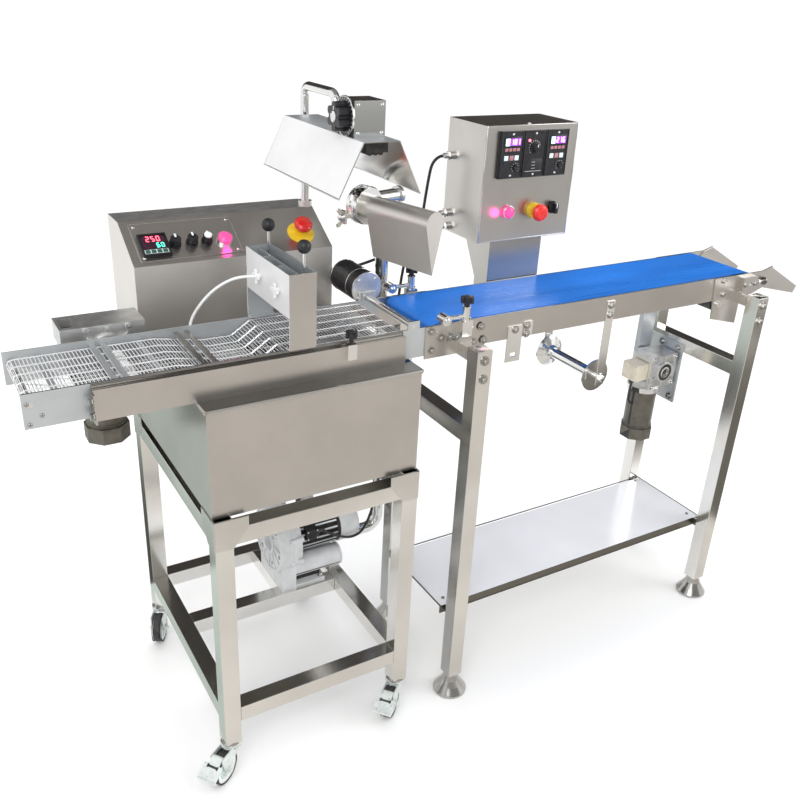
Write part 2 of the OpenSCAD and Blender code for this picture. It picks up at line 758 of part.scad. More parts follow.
module lamp_hood() place() {
    color(bright) translate([hood_x, hood_y, hood_z]) {
        rotate([90, 0, 0]) translate([0, 0, -hood_l]) difference() {
            linear_extrude(hood_l) hood_section(0);
            translate([0, 0, -1]) linear_extrude(hood_l + 2) hood_section(hood_t);
        }
        translate([-dial_box / 2, dial_y - hood_y, 0]) cube([dial_box, dial_box, dial_box]);
        translate([-dial_box / 2 - 3, dial_y - hood_y + dial_box / 2, dial_z - hood_z]) difference() {
            rod_x(76, 3);
            translate([-1, 0, 0]) rod_x(knob_stem + 2 * run, 9);
        }
    }
    color(dark) translate([hood_x, hood_y, hood_z - hood_t])
        box([-24, 20, -22], [24, hood_l - 20, 0]);
}
module lamp_dial() place() color(dark)
    translate([hood_x - dial_box / 2 - 3 - clear, dial_y + dial_box / 2, dial_z]) rotate([0, -90, 0]) {
        translate([0, 0, -clear - 3]) cylinder(d = knob_stem, h = 6);
        star_grip(56, 24);
    }

// Ring blower on the low rails: scroll, finned motor, fan cover and two silencers
riser_x = knife_x - sin(knife_yaw) * elbow_s + cos(knife_yaw) * riser_s;
riser_y = knife_y + cos(knife_yaw) * elbow_s + sin(knife_yaw) * riser_s;
blow_y = mid_y + 80;
blow_z = low_rail_top + scroll_d / 2 + 34;
ring_w = 14;
blow_motor_x = blow_x + scroll_w + ring_w;
fan_x = blow_motor_x + blow_motor_l;
fan_w = 52;
silencer_y = 36;
silencer_z = blow_z - 75;
silencer_x1 = blow_motor_x + silencer_l;
blow_foot = [31, 97, 30, 16];
terminal = [22, 32, 28];
terminal_y = blow_y - blow_motor_d / 2 - 9;
module blower() place() {
    fin = 5;
    base_y = scroll_d * 0.4;
    color(white) {
        translate([blow_x, blow_y, blow_z]) difference() {
            union() {
                rod_x(scroll_d, scroll_w);
                translate([scroll_w, 0, 0]) rod_x(scroll_d - 12, ring_w);
                box([4, -base_y, low_rail_top - blow_z], [scroll_w, base_y, -scroll_d / 4]);
            }
            translate([-1, 0, 0]) rod_x(scroll_d * 0.3, 9);
        }
        for (m = [0, 1]) translate([0, blow_y, 0]) mirror([0, m, 0]) {
            translate([blow_x + scroll_w / 2, -silencer_y, silencer_z])
                rod_x(silencer_d, silencer_x1 - blow_x - scroll_w / 2);
            translate([blow_x + blow_foot[0], -silencer_y, low_rail_top]) {
                box([0, -blow_foot[2], 0], [blow_foot[1], blow_foot[3], 6]);
                box([20, -10, 6], [blow_foot[1] - 6, 10, silencer_z - silencer_d / 2 + 4 - low_rail_top]);
            }
        }
    }
    color(motor_grey) translate([blow_motor_x, blow_y, blow_z]) difference() {
        rod_x(blow_motor_d, blow_motor_l);
        for (a = [0:20:340]) rotate([a, 0, 0])
            box([8, -2, blow_motor_d / 2 - fin], [blow_motor_l - 8, 2, blow_motor_d]);
    }
    color(motor_grey) translate([blow_motor_x + terminal[0], terminal_y, blow_z + 6])
        cube([terminal[1], 22, terminal[2]]);
    color("silver") translate([fan_x, blow_y, blow_z]) rod_x(blow_motor_d + 6, fan_w);
}

// Air pipe: from the back silencer up the offset riser to the elbow, the knife clamp and a capped end
low_x = riser_x + 74;
shift_z = tank_top - 148;
shift_h = 140;
module along_knife(s) {
    translate([knife_x, knife_y, knife_z]) rotate(knife_yaw) translate([0, s, 0]) children();
}
module air_pipe() place() color(bright) {
    r = 40;
    clamp_s = knife_l + knife_neck;
    low_y = blow_y + silencer_y;
    shift = [riser_x - low_x, riser_y - low_y, shift_h];
    translate([silencer_x1, low_y, silencer_z]) rod_x(pipe_d, low_x - r - silencer_x1);
    translate([low_x - r, low_y, silencer_z + r]) rotate([90, 0, 0]) rotate(-90) bend(pipe_d, r);
    translate([low_x, low_y, silencer_z + r]) cylinder(d = pipe_d, h = shift_z - silencer_z - r);
    translate([low_x, low_y, shift_z]) {
        sphere(d = pipe_d);
        rotate([0, acos(shift_h / norm(shift)), atan2(shift[1], shift[0])])
            cylinder(d = pipe_d, h = norm(shift));
        translate(shift) sphere(d = pipe_d);
    }
    translate([riser_x, riser_y, shift_z + shift_h]) cylinder(d = pipe_d, h = knife_z - shift_z - shift_h);
    along_knife(elbow_s) {
        sphere(d = pipe_d);
        rod_x(pipe_d, vent_s);
        translate([vent_s - 4, 0, 0]) rod_x(pipe_d + 10, 8);
    }
    along_knife(clamp_s + clear) rod_y(pipe_d, elbow_s - clamp_s - clear);
    along_knife(clamp_s - clamp_l) difference() {
        rod_y(clamp_d, 2 * clamp_l);
        translate([0, -1, 0]) rod_y(knife_d + 2 * run, clamp_l + 1 + clear);
    }
    along_knife(clamp_s - 8) translate([-clamp_d / 2 - 18, 0, -18]) {
        box([0, 4, -4], [26, 12, 4]);
        box([-6, 0, -14], [0, 16, 14]);
    }
}

// Air knife: teardrop section with a hollow body, its round neck in the clamp
module teardrop(d, drop) {
    a = acos(d / 2 / drop);
    circle(d = d);
    polygon([[0, -drop], d / 2 * [cos(a - 90), sin(a - 90)], d / 2 * [-cos(a - 90), sin(a - 90)]]);
}
module air_knife() place() color(steel) along_knife(0) {
    wall = 2;
    difference() {
        union() {
            rotate([90, 0, 0]) translate([0, 0, -knife_l]) linear_extrude(knife_l)
                teardrop(knife_d, knife_drop);
            rod_y(knife_d, knife_l + knife_neck);
        }
        rotate([90, 0, 0]) translate([0, 0, wall - knife_l]) linear_extrude(knife_l - 2 * wall)
            teardrop(knife_d - 2 * wall, knife_drop - 8);
        translate([0, wall, 0]) rod_y(knife_d - 2 * wall, knife_l + knife_neck);
    }
}

// Depth of the cast pockets in the sides of a worm gearbox
pocket = 6;
flange_h = 14;
bed_off = -12;
drive_off = -26;
// Worm gearbox with a hollow output along Y and its motor hanging below, centred on the output
module worm_gearbox(bore, off) {
    difference() {
        union() {
            box([-gear_s / 2, -gear_w / 2, -gear_s / 2], [gear_s / 2, gear_w / 2, gear_s / 2]);
            translate([0, -gear_w / 2 - hub_out, 0]) rod_y(gear_s * 0.62, gear_w + 2 * hub_out);
            translate([off, 0, -gear_s / 2 - flange_h]) cylinder(d = motor_d * 1.15, h = flange_h);
        }
        for (m = [-1, 1], n = [-1, 1])
            translate([m * gear_s * 0.42, -gear_w, n * gear_s * 0.42]) rod_y(9, 2 * gear_w);
        translate([0, -gear_w / 2 - hub_out - 1, 0]) rod_y(bore, gear_w + hub_out);
        for (m = [-1, 1]) translate([m * gear_s / 2, 0, 0])
            box([-pocket, -gear_w / 2 + 8, -30], [pocket, gear_w / 2 - 8, 30]);
    }
}
module worm_motor(off) {
    cap_h = 34;
    translate([off, 0, -gear_s / 2 - flange_h - motor_l]) {
        translate([0, 0, cap_h]) cylinder(d = motor_d, h = motor_l - cap_h);
        rotate(22.5) cylinder(d = motor_d * 1.16, h = cap_h, $fn = 8);
    }
}
gear1_y = trough_y1 + 8 + gear_w / 2 + hub_out;
wing_l = 88;
wing_r = 75;
wing_h = 40;
wing_t = 18;
detail_motor_d = 74;
detail_head = 34;
detail_motor_l = 74;
detail_off = 20;
module bed_gearmotors() place() {
    translate([shaft_x, gear1_y, drive_shaft_z]) {
        color(steel) worm_gearbox(shaft_d + 2 * run, bed_off);
        color(steel) difference() {
            box([-wing_l, -gear_w / 2, gear_s / 2 - wing_h], [wing_r, gear_w / 2, gear_s / 2]);
            box([6 - wing_l, 12 - gear_w / 2, gear_s / 2 - wing_t], [34 - wing_l, gear_w / 2 - 12, gear_s]);
            for (x = [-10, 10]) translate([bed_off + x, 0, gear_s / 2 - wing_t]) cylinder(d = 24, h = wing_h);
            translate([bed_off - 10, -12, gear_s / 2 - wing_t]) cube([20, 24, wing_h]);
        }
        color(motor_grey) worm_motor(bed_off);
    }
    color(bright)
        box([shaft_x - 40, trough_y1, drive_shaft_z + 16], [shaft_x + 40, trough_y1 + 14, drive_shaft_z + 22]);
    color(bright) difference() {
        union() {
            box([detail_x - 22, plate_y1, plates_z - 24], [detail_x + 22, plate_y1 + 4, detail_z + 12]);
            translate([detail_x, plate_y1 + 4, detail_z + detail_off]) rod_y(detail_motor_d, detail_head);
        }
        translate([detail_x, plate_y1 - 1, detail_z]) rod_y(axle + 2 * run, 30);
    }
    color(dark) translate([detail_x, plate_y1 + 4 + detail_head, detail_z + detail_off])
        rod_y(detail_motor_d, detail_motor_l);
}

// Shafts of the mesh bed
module mesh_drive_shaft() place() {
    color(bright) translate([shaft_x, plate_y0 - 4, drive_shaft_z])
        rod_y(shaft_d, gear1_y + gear_w * 0.3 - plate_y0);
    color(white) for (k = [0.2, 0.5, 0.8])
        translate([shaft_x, mesh_y0 + (mesh_y1 - mesh_y0) * k - 14, drive_shaft_z])
        difference() {
            rod_y(sprocket_d, 28);
            translate([0, -1, 0]) rod_y(shaft_d, 30);
            for (a = [0:30:330]) rotate([0, a, 0]) translate([sprocket_d / 2, -1, 0]) rod_y(4.5, 30);
        }
}
module idle_roller(d, y0, y1, pin0, pin1) {
    translate([0, y0, 0]) rod_y(d, y1 - y0);
    translate([0, pin0, 0]) rod_y(axle, pin1 - pin0);
}
module mesh_nose_roller() place() color(bright) {
    translate([nose_x, 0, nose_z]) idle_roller(nose_d, mesh_y0, mesh_y1, plate_y0 + clear, plate_y1 - clear);
}
module detailing_roller() place() color(bright) {
    translate([detail_x, 0, detail_z])
        idle_roller(detail_d, plate_y0 + plate_t + 2, plate_y1 - plate_t - 2,
            plate_y0 + clear, plate_y1 + 26);
}

// Star knob on the front edge of the trough, its screw in a clamp block
star_x = 311;
clamp_w = 20;
module bed_star_knob() place() color(dark) translate([star_x, trough_y - 7, trough_top + 8]) {
    translate([0, 0, -14]) cylinder(d = 6, h = 18);
    translate([0, 0, clear]) cylinder(d = 9, h = 14);
    translate([0, 0, 14]) star_grip(26, 12);
}

// Conveyor stand
module conveyor_legs() place() color(steel) {
    for (x = [leg_x, leg_x + leg_pitch]) {
        for (y = [front_leg_y, back_leg_y]) translate([x, y, foot_h]) {
            tube_z(leg_top - foot_h);
            translate([tube_wall, tube_wall, 0]) cube([tube - 2 * tube_wall, tube - 2 * tube_wall, 5]);
        }
        translate([x, front_leg_y + tube, cross_z]) tube_y(back_leg_y - front_leg_y - tube);
    }
}
module levelling_feet() place() color(bright) {
    r = foot_d / 2;
    lip = 5;
    neck = tube / 2 - 1;
    for (x = [leg_x, leg_x + leg_pitch], y = [front_leg_y, back_leg_y])
        translate([x + tube / 2, y + tube / 2, 0]) rotate_extrude()
            polygon([[0, 0], [r, 0], [r, lip], [r * 0.95, lip + 3], [r * 0.72, foot_h * 0.4],
                [r * 0.52, foot_h * 0.66], [neck, foot_h - lip], [neck, foot_h], [0, foot_h]]);
}

// Lower shelf with folded edges on gussets
shelf_in = 24;
shelf_fold = 22;
module shelf() place() color(white) {
    x1 = leg_x + leg_pitch + tube;
    y0 = front_leg_y + tube + shelf_in;
    y1 = back_leg_y - shelf_in / 3;
    box([leg_x, y0, shelf_z - sheet], [x1, y1, shelf_z]);
    for (y = [y0, y1 - sheet]) box([leg_x, y, shelf_z - shelf_fold], [x1, y + sheet, shelf_z]);
    for (x = [leg_x, leg_x + leg_pitch]) {
        box([x + 16, front_leg_y + tube, shelf_z - shelf_fold], [x + 19, y0, shelf_z]);
        box([x + 16, y1, shelf_z - shelf_fold], [x + 19, back_leg_y, shelf_z]);
        box([x + 4, front_leg_y + tube, shelf_z - shelf_fold], [x + 34, front_leg_y + tube + 3, shelf_z]);
        box([x + 4, back_leg_y - 3, shelf_z - shelf_fold], [x + 34, back_leg_y, shelf_z]);
    }
}

// Side rails of the conveyor with the slider bed between them
module conveyor_rails() place() color(steel) {
    difference() {
        union() {
            for (y = [rail_y0, rail_y1 - rail_t]) box([rail_x0, y, rail_z], [rail_x1, y + rail_t, rail_top]);
            box([tip_x + 18, rail_y0 + rail_t, belt_in - sheet], [rail_x1, rail_y1 - rail_t, belt_in]);
            for (x = [belt_x + 220, belt_x + 640])
                translate([x, rail_y0 + 1, rail_z + 8]) rod_y(12, rail_y1 - rail_y0 - 2);
        }
        translate([tip_x, rail_y0 - 1, tip_z]) rod_y(axle + 2 * run, rail_y1 - rail_y0 + 2);
    }
}

// Endless belt round the nose and tail rollers
function across(p, a, b) = let (d = (b - a) / norm(b - a), v = p - a) a + 2 * (v * d) * d - v;
module belt_loop(t) {
    a = [tip_x, tip_z];
    b = [tail_x, tail_z];
    ra = tip_d / 2 + t;
    rb = tail_d / 2 + t;
    ta = a + [0, ra];
    tb = b + [0, rb];
    translate(a) circle(r = ra);
    translate(b) circle(r = rb);
    polygon([ta, tb, b, across(tb, a, b), across(ta, a, b), a]);
}
module conveyor_belt() place() color("dodgerblue") translate([0, belt_y1, 0]) rotate([90, 0, 0])
    linear_extrude(belt_y1 - belt_y0) difference() {
        belt_loop(belt_t);
        belt_loop(0);
    }
module belt_roller(d, x, z, pin, pin0, pin1) {
    translate([x, 0, z]) {
        translate([0, belt_y0, 0]) rod_y(d - 2 * clear, belt_y1 - belt_y0);
        translate([0, pin0, 0]) rod_y(pin, pin1 - pin0);
    }
}
block_t = 14;
module conveyor_tip_roller() place() color(bright)
    belt_roller(tip_d, tip_x, tip_z, axle, rail_y0 - end_t + clear, rail_y1 + end_t - clear);
module conveyor_tail_roller() place() color(bright)
    belt_roller(tail_d, tail_x, tail_z, axle, rail_y0 - end_t - block_t + 2, rail_y1 + end_t + block_t - 2);
module conveyor_drive_roller() place() color(dark)
    belt_roller(drive_d, drive_x, drive_z, shaft_d, rail_y0 - end_t - 6, guard_y + 2);

// End plates at both ends of the rails, with the take-up blocks and the discharge chute
module end_plate() {
    polygon([[tail_x - 123, rail_top], [tail_x + 60, rail_top], [tail_x + 96, rail_top + 9],
        [tail_x + 91, rail_top - 40], [tail_x - 12, rail_z - 12], [tail_x - 12, rail_z - 74],
        [tail_x - 110, rail_z - 49]]);
}
module end_plates() place() color(steel) {
    for (y = [rail_y0 - end_t, rail_y1]) {
        difference() {
            translate([0, y + end_t, 0]) rotate([90, 0, 0]) linear_extrude(end_t) end_plate();
            translate([tail_x, y - 1, tail_z]) rod_y(axle + 2 * run, end_t + 2);
            translate([drive_x, y - 1, drive_z]) rod_y(shaft_d + 2 * run, end_t + 2);
        }
        difference() {
            box([rail_x0, y, rail_z - 10], [leg_x + tube + 8, y + end_t, rail_top]);
            translate([tip_x, y - 1, tip_z]) rod_y(axle + 2 * run, end_t + 2);
            box([tip_x + 22, y - 1, tip_z - 26], [tip_x + 52, y + end_t + 1, tip_z - 18]);
        }
    }
    for (y = [rail_y0 - end_t - block_t, rail_y1 + end_t]) difference() {
        box([tail_x - 27, y, tail_z - 18], [tail_x + 27, y + block_t, tail_z + 18]);
        translate([tail_x, y - 1, tail_z]) rod_y(axle + 2 * run, block_t + 2);
    }
    chute_z = rail_top - 75;
    for (y = [rail_y0, rail_y1 - sheet]) translate([0, y + sheet, 0]) rotate([90, 0, 0]) linear_extrude(sheet)
        polygon([[tail_x + 36, tail_z], [tail_x + 60, rail_top - 2], [tail_x + 96, rail_top + 6],
            [tail_x + 222, rail_top - 62], [tail_x + 212, chute_z - 6], [tail_x + 36, tail_z - 14]]);
    translate([0, rail_y1 - sheet, 0]) rotate([90, 0, 0]) linear_extrude(rail_y1 - rail_y0 - 2 * sheet)
        polygon([[tail_x + 36, tail_z + 2], [tail_x + 216, chute_z + 2],
            [tail_x + 216, chute_z], [tail_x + 36, tail_z]]);
}

// Worm gearmotor on the plate at the back right leg, with its lead and the closed chain guard
lead_d = 7;
lead_r = 18;
module conveyor_gearmotor() place() {
    flange_x = drive_x + gear_s / 2;
    translate([drive_x, gear_y, gear_z]) {
        color(steel) worm_gearbox(shaft_d, drive_off);
        color(motor_grey) worm_motor(drive_off);
        color(dark) translate([drive_off - motor_d / 2 - lead_r, -6, -gear_s / 2 - flange_h - 20]) {
            cylinder(d = lead_d, h = 70);
            translate([lead_r, 0, 0]) rotate([90, 0, 0]) rotate(180) bend(lead_d, lead_r);
            translate([lead_r, 0, -lead_r]) rod_x(lead_d, 8);
        }
        color("beige") box([-gear_s / 2 - 44, -26, -22], [pocket - gear_s / 2, 26, 26]);
    }
    color(bright) translate([flange_x, gear_y, gear_z]) rod_x(gear_w - 4, mount_x - mount_t - flange_x);
    color(bright)
        box([mount_x - mount_t, gear_y - 48, gear_z - 105], [mount_x, back_leg_y + tube, gear_z + 75]);
    color(bright) difference() {
        box([drive_x - 24, guard_y - guard_t / 2, gear_z - 34],
            [drive_x + 24, guard_y + guard_t / 2, drive_z + 30]);
        box([drive_x - 22, guard_y - guard_t / 2 + 2, gear_z - 32],
            [drive_x + 22, guard_y + guard_t / 2 - 2, drive_z + 28]);
        translate([drive_x, guard_y - guard_t, drive_z]) rod_y(shaft_d + 2 * run, guard_t);
    }
}

// Hangers of the paper spindle, slotted plate and guide posts on the rails
spin_x = belt_x + spindle_x;
spin_z = rail_z - spindle_drop;
strap_w = 24;
guide_x = belt_x + 75;
guide_y = [rail_y0 - end_t - 9, rail_y1 + end_t + 9];
guide_z = rail_top + 38;
guide_stem = 8;
module rail_fittings() place() color(bright) {
    for (y = [rail_y0 - end_t, rail_y1]) difference() {
        box([spin_x - strap_w / 2, y, spin_z - 18], [spin_x + strap_w / 2, y + end_t, rail_top - 12]);
        translate([spin_x, y - 1, spin_z]) rod_y(axle + 2 * run, end_t + 2);
    }
    difference() {
        box([belt_x + 200, rail_y0 - end_t, rail_z - 56], [belt_x + 240, rail_y0, rail_z + 30]);
        box([belt_x + 212, rail_y0 - end_t - 1, rail_z - 44], [belt_x + 228, rail_y0 + 1, rail_z - 34]);
    }
    box([belt_x + 244, rail_y0 - end_t, rail_z + 2], [belt_x + 268, rail_y0, rail_z + 36]);
    for (y = guide_y) {
        difference() {
            union() {
                box([guide_x - 13, y - 9, rail_top - 28], [guide_x + 13, y + 9, rail_top + 6]);
                translate([guide_x, y, rail_top + 6]) cylinder(d = 18, h = guide_z - rail_top - 6);
                translate([guide_x - 44, y, rail_top + 16]) rod_x(9, 44);
            }
            translate([guide_x, y, guide_z - 20]) cylinder(d = guide_stem + 2 * run, h = 21);
        }
        translate([guide_x - 44 - 11, y - 12, rail_top + 16]) rod_y(22, 24);
    }
    box([star_x - clamp_w / 2, trough_y - 14, trough_top - 24],
        [star_x + clamp_w / 2, trough_y, trough_top - 18]);
    difference() {
        box([star_x - clamp_w / 2, trough_y - 14, trough_top - 18],
            [star_x + clamp_w / 2, trough_y, trough_top + 8]);
        translate([star_x, trough_y - 7, trough_top - 8]) cylinder(d = 6 + 2 * run, h = 20);
    }
}
module guide_knob(y) {
    translate([guide_x, y, guide_z]) {
        translate([0, 0, -16]) cylinder(d = guide_stem, h = 18);
        translate([0, 0, clear]) cylinder(d = 12, h = 8);
        translate([0, 0, 8]) star_grip(30, 12);
    }
}
module guide_knob_front() place() color(dark) guide_knob(guide_y[0]);
module guide_knob_back() place() color(dark) guide_knob(guide_y[1]);
disc_y = [rail_y0 + 16, rail_y1 - 6];
module paper_spindle() place() color(bright) translate([spin_x, 0, spin_z]) {
    translate([0, rail_y0 - end_t - 8, 0]) rod_y(axle, rail_y1 - rail_y0 + 2 * end_t + 16);
    translate([0, disc_y[0], 0]) rod_y(core_d, disc_y[1] - disc_y[0]);
    for (k = [0, 1]) translate([0, disc_y[k], 0]) mirror([0, k, 0]) rotate([-90, 0, 0]) rotate_extrude()
        polygon([[0, 0], [disc_d / 2, 0], [disc_d / 2, 3], [disc_d * 0.42, 6], [core_d * 0.66, 12],
            [core_d * 0.62, 26], [0, 26]]);
}

// Speed control box on its tapered post
post_l = 155;
post_in = 37;
post_low = 52;
post_high = 107;
lamp_at = [79, 69];
stop_at = [157, 67];
select_at = [212, 71];
select_stem = 8;
gland_at = [[box_d - 19, 181], [box_d - 6 - 12, 44], [box_d - 6 - 14, 12]];
module on_box(p) {
    translate([cbx + p[0], cby, cbz + p[1]]) rotate([90, 0, 0]) children();
}
module speed_box() place() color(steel) {
    difference() {
        box([cbx, cby, cbz], [cbx + box_w, cby + box_d, cbz + box_h]);
        box([cbx + sheet, cby + sheet, cbz + sheet],
            [cbx + box_w - sheet, cby + box_d - sheet, cbz + box_h - sheet]);
        on_box(stop_at) translate([0, 0, -10]) cylinder(d = stop_stem + 2 * clear, h = 20);
        on_box(select_at) translate([0, 0, -10]) cylinder(d = select_stem + 2 * run, h = 20);
    }
    x0 = cbx + post_in;
    box([x0, cby, rail_z + 12], [x0 + post_l, cby + sheet, cbz]);
    for (x = [x0, x0 + post_l - sheet]) translate([x, 0, 0]) rotate([90, 0, 90]) linear_extrude(sheet)
        polygon([[cby, rail_z + 12], [cby + post_low, rail_z + 12], [cby + post_low, rail_top],
            [cby + post_high, cbz], [cby, cbz]]);
    for (g = gland_at) translate([cbx - 20, cby + g[0], cbz + g[1]]) {
        rod_x(13, 20);
        translate([12, 0, 0]) rod_x(18, 8);
    }
}
module speed_modules() place() {
    gap = 2;
    color(dark) for (i = [0:2])
        box([cbx + post_in + i * (mod_w + gap), cby - 9, cbz + box_h - 12 - mod_h],
            [cbx + post_in + i * (mod_w + gap) + mod_w, cby, cbz + box_h - 12]);
    color("hotpink") on_box(lamp_at) {
        cylinder(d = 32, h = 6);
        translate([0, 0, 6]) cylinder(d1 = 27, d2 = 22, h = 8);
    }
    color("gold") on_box(stop_at) difference() {
        cylinder(d = 38, h = 12);
        translate([0, 0, -1]) cylinder(d = stop_stem + 2 * clear, h = 14);
    }
    color(dark) on_box(select_at) difference() {
        cylinder(d = 30, h = 5);
        translate([0, 0, -1]) cylinder(d = select_stem + 2 * run, h = 7);
    }
}
module box_stop() place() color(red) on_box(stop_at) mushroom();
module box_selector() place() color(dark) on_box(select_at) {
    translate([0, 0, -8]) cylinder(d = select_stem, h = 16);
    translate([0, 0, 5 + clear]) cylinder(d = 26, h = 8);
    translate([-4, -12, 12]) cube([8, 24, 10]);
}

// Casters
fork_top = caster_h - plug_t - race_h - clear;
module at_caster(i) {
    translate([casters[i][0], casters[i][1], 0]) rotate(casters[i][2]) children();
}
module caster_fork(i, braked) {
    r = wheel_d / 2;
    reach = fork_y + arm_t;
    at_caster(i) {
        translate([0, 0, fork_top - 5]) cylinder(d = tube + 8, h = 5);
        translate([0, 0, fork_top - 5]) cylinder(d = kingpin_d, h = plug_t + race_h + 4);
        box([-20, -reach, fork_top - 6], [20, reach, fork_top - 1]);
        for (y = [-reach, fork_y]) translate([0, y + arm_t, 0]) rotate([90, 0, 0]) linear_extrude(arm_t)
            polygon([[-20, fork_top - 1], [22, fork_top - 1], [pedal_x + 6, pedal_z + 5],
                [pedal_x + 6, pedal_z - 6], [trail + 13, r + 8], [trail + 9, r - 9], [trail - 9, r - 9],
                [trail - 14, r + 8], [-20, fork_top - 10]]);
        translate([trail, -reach - 4, r]) rod_y(axle_d, 2 * reach + 8);
        if (braked) translate([pedal_x, -reach, pedal_z]) rod_y(pedal_pin, 2 * reach);
    }
}
module caster_wheel(i) {
    r = wheel_d / 2;
    core_r = r * 0.7;
    half = wheel_w / 2;
    at_caster(i) translate([trail, 0, r]) rotate([90, 0, 0]) {
        color("lightgrey") rotate_extrude()
            polygon([[axle_d / 2 + run, -half], [13, -half], [14, 3 - half], [core_r - 4, 3 - half],
            [core_r - 3, 1 - half], [core_r, 1 - half], [core_r, half - 1], [core_r - 3, half - 1],
            [core_r - 4, half - 3],
            [14, half - 3], [13, half], [axle_d / 2 + run, half]]);
        color(dark) rotate_extrude()
            polygon([[core_r, 1 - half], [r - 5, 1 - half], [r - 1, 5 - half], [r, 9 - half],
            [r, half - 9], [r - 1, half - 5], [r - 5, half - 1], [core_r, half - 1]]);
    }
}
module brake_pedal(i) {
    w = fork_y - 0.5;
    tread_w = w + 10;
    tread_l = 52;
    at_caster(i) translate([pedal_x, 0, pedal_z]) rotate([0, pedal_droop, 0]) difference() {
        union() {
            translate([0, -w, 0]) rod_y(10, 2 * w);
            box([0, -w, 2], [20, w, 5]);
            box([16, -tread_w, 2], [tread_l, tread_w, 5]);
            box([tread_l - 4, -tread_w, -5], [tread_l, tread_w, 5]);
        }
        translate([0, -w - 1, 0]) rod_y(pedal_pin + 2 * run, 2 * w + 2);
    }
}
module caster_fork_1() place() color(steel) caster_fork(0, true);
module caster_fork_2() place() color(steel) caster_fork(1, true);
module caster_fork_3() place() color(steel) caster_fork(2, false);
module caster_fork_4() place() color(steel) caster_fork(3, false);
module caster_wheel_1() place() caster_wheel(0);
module caster_wheel_2() place() caster_wheel(1);
module caster_wheel_3() place() caster_wheel(2);
module caster_wheel_4() place() caster_wheel(3);
module brake_pedal_1() place() color(steel) brake_pedal(0);
module brake_pedal_2() place() color(steel) brake_pedal(1);

// Smooth curve through hand-chosen points, and a tube swept along it
function curve(p, k, t) =
    let (n = len(p), a = p[max(k - 1, 0)], b = p[k], c = p[k + 1], d = p[min(k + 2, n - 1)])
    0.5 * (2 * b + (c - a) * t + (2 * a - 5 * b + 4 * c - d) * t * t + (3 * b - a - 3 * c + d) * t * t * t);
function smooth(p, m) = concat([for (k = [0:len(p) - 2], i = [0:m - 1]) curve(p, k, i / m)], [p[len(p) - 1]]);
function unit(v) = v / norm(v);
function ring(p, i, d, s, up) = let (n = len(p), t = unit(p[min(i + 1, n - 1)] - p[max(i - 1, 0)]),
    u = unit(cross(up, t)), v = cross(t, u))
    [for (k = [0:s - 1]) p[i] + d / 2 * (cos(360 * k / s) * u + sin(360 * k / s) * v)];
module cord(route, d, s, m, up) {
    p = smooth(route, m);
    n = len(p);
    points = [for (i = [0:n - 1]) each ring(p, i, d, s, up)];
    sides = [for (i = [0:n - 2], k = [0:s - 1])
        [i * s + k, i * s + (k + 1) % s, (i + 1) * s + (k + 1) % s, (i + 1) * s + k]];
    polyhedron(points, concat(sides, [[for (k = [s - 1:-1:0]) k], [for (k = [0:s - 1]) (n - 1) * s + k]]));
}
hose_d = 6;
cable_d = 7;
hose_route = [[curtain_x - 10, box_y0 + (box_y1 - box_y0) * 0.68, curtain_z + curtain_h / 2],
    [160, 203, 1085], [138, 212, 1081], [115, 224, 1068], [95, 238, 1048], [78, 252, 1022],
    [66, 262, 998], [60, 267, 978], [58, 268, 960]];
upper_route = [[cbx - 20, cby + gland_at[0][0], cbz + gland_at[0][1]], [725, 395, 1256], [712, 396, 1246],
    [704, 399, 1225], [700, 404, 1195], [698, 409, 1160], [694, 412, 1120], [680, 414, 1080],
    [642, 416, 1046], [592, 419, 1022], [542, 422, 1008], [502, 418, 1003], [478, 406, 1002],
    [468, 392, 1002], [detail_x, plate_y1 + 4 + detail_head + detail_motor_l, detail_z + detail_off]];
lower_route = [[cbx - 20, cby + gland_at[1][0], cbz + gland_at[1][1]], [720, 396, 1119], [690, 396, 1105],
    [662, 396, 1070], [642, 396, 1015], [630, 396, 940], [622, 396, 840], [614, 396, 720], [606, 397, 600],
    [596, 390, 500], [578, 376, 410], [548, 354, 340], [515, 338, 302], [484, 337, 290], [450, 337, 300],
    [421, 341, 316], [400, 345, 328],
    [blow_motor_x + terminal[0] + terminal[1], terminal_y + 9, blow_z + 20]];
module white_hose() place() color(white) cord(hose_route, hose_d, 8, 3, [0, 1, 0]);
module upper_cable() place() color(dark) cord(upper_route, cable_d, 8, 3, [0, 0.2, 1]);
module lower_cable() place() color(dark) cord(lower_route, cable_d, 8, 3, [0, 1, 0]);

enrober_legs();
enrober_rails();
frame_plates();
tank();
bed_trough();
bed_frame();
mesh_belt();
curtain_box();
chocolate_feed();
control_cabinet();
instrument_panel();
blower();
air_pipe();
bed_gearmotors();
conveyor_legs();
levelling_feet();
conveyor_rails();
conveyor_belt();
shelf();
end_plates();
conveyor_gearmotor();
rail_fittings();
speed_box();
speed_modules();
white_hose();
upper_cable();
lower_cable();
guide_knob_front();
guide_knob_back();
caster_fork_1();
caster_fork_2();
caster_fork_3();
caster_fork_4();
caster_wheel_1();
caster_wheel_2();
caster_wheel_3();
caster_wheel_4();
brake_pedal_1();
brake_pedal_2();
mesh_drive_shaft();
mesh_nose_roller();
detailing_roller();
conveyor_drive_roller();
conveyor_tip_roller();
conveyor_tail_roller();
paper_spindle();
lamp_arm();
lamp_hood();
lamp_dial();
heat_knob();
pump_knob();
air_knob();
lit_button();
cabinet_stop();
box_stop();
box_selector();
gate_rod_front();
gate_rod_back();
bed_star_knob();
air_knife();
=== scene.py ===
"""Looks of a chocolate enrober with its docked belt conveyor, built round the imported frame."""

import math
from itertools import product

import bmesh
import bpy
from mathutils import Matrix, Vector


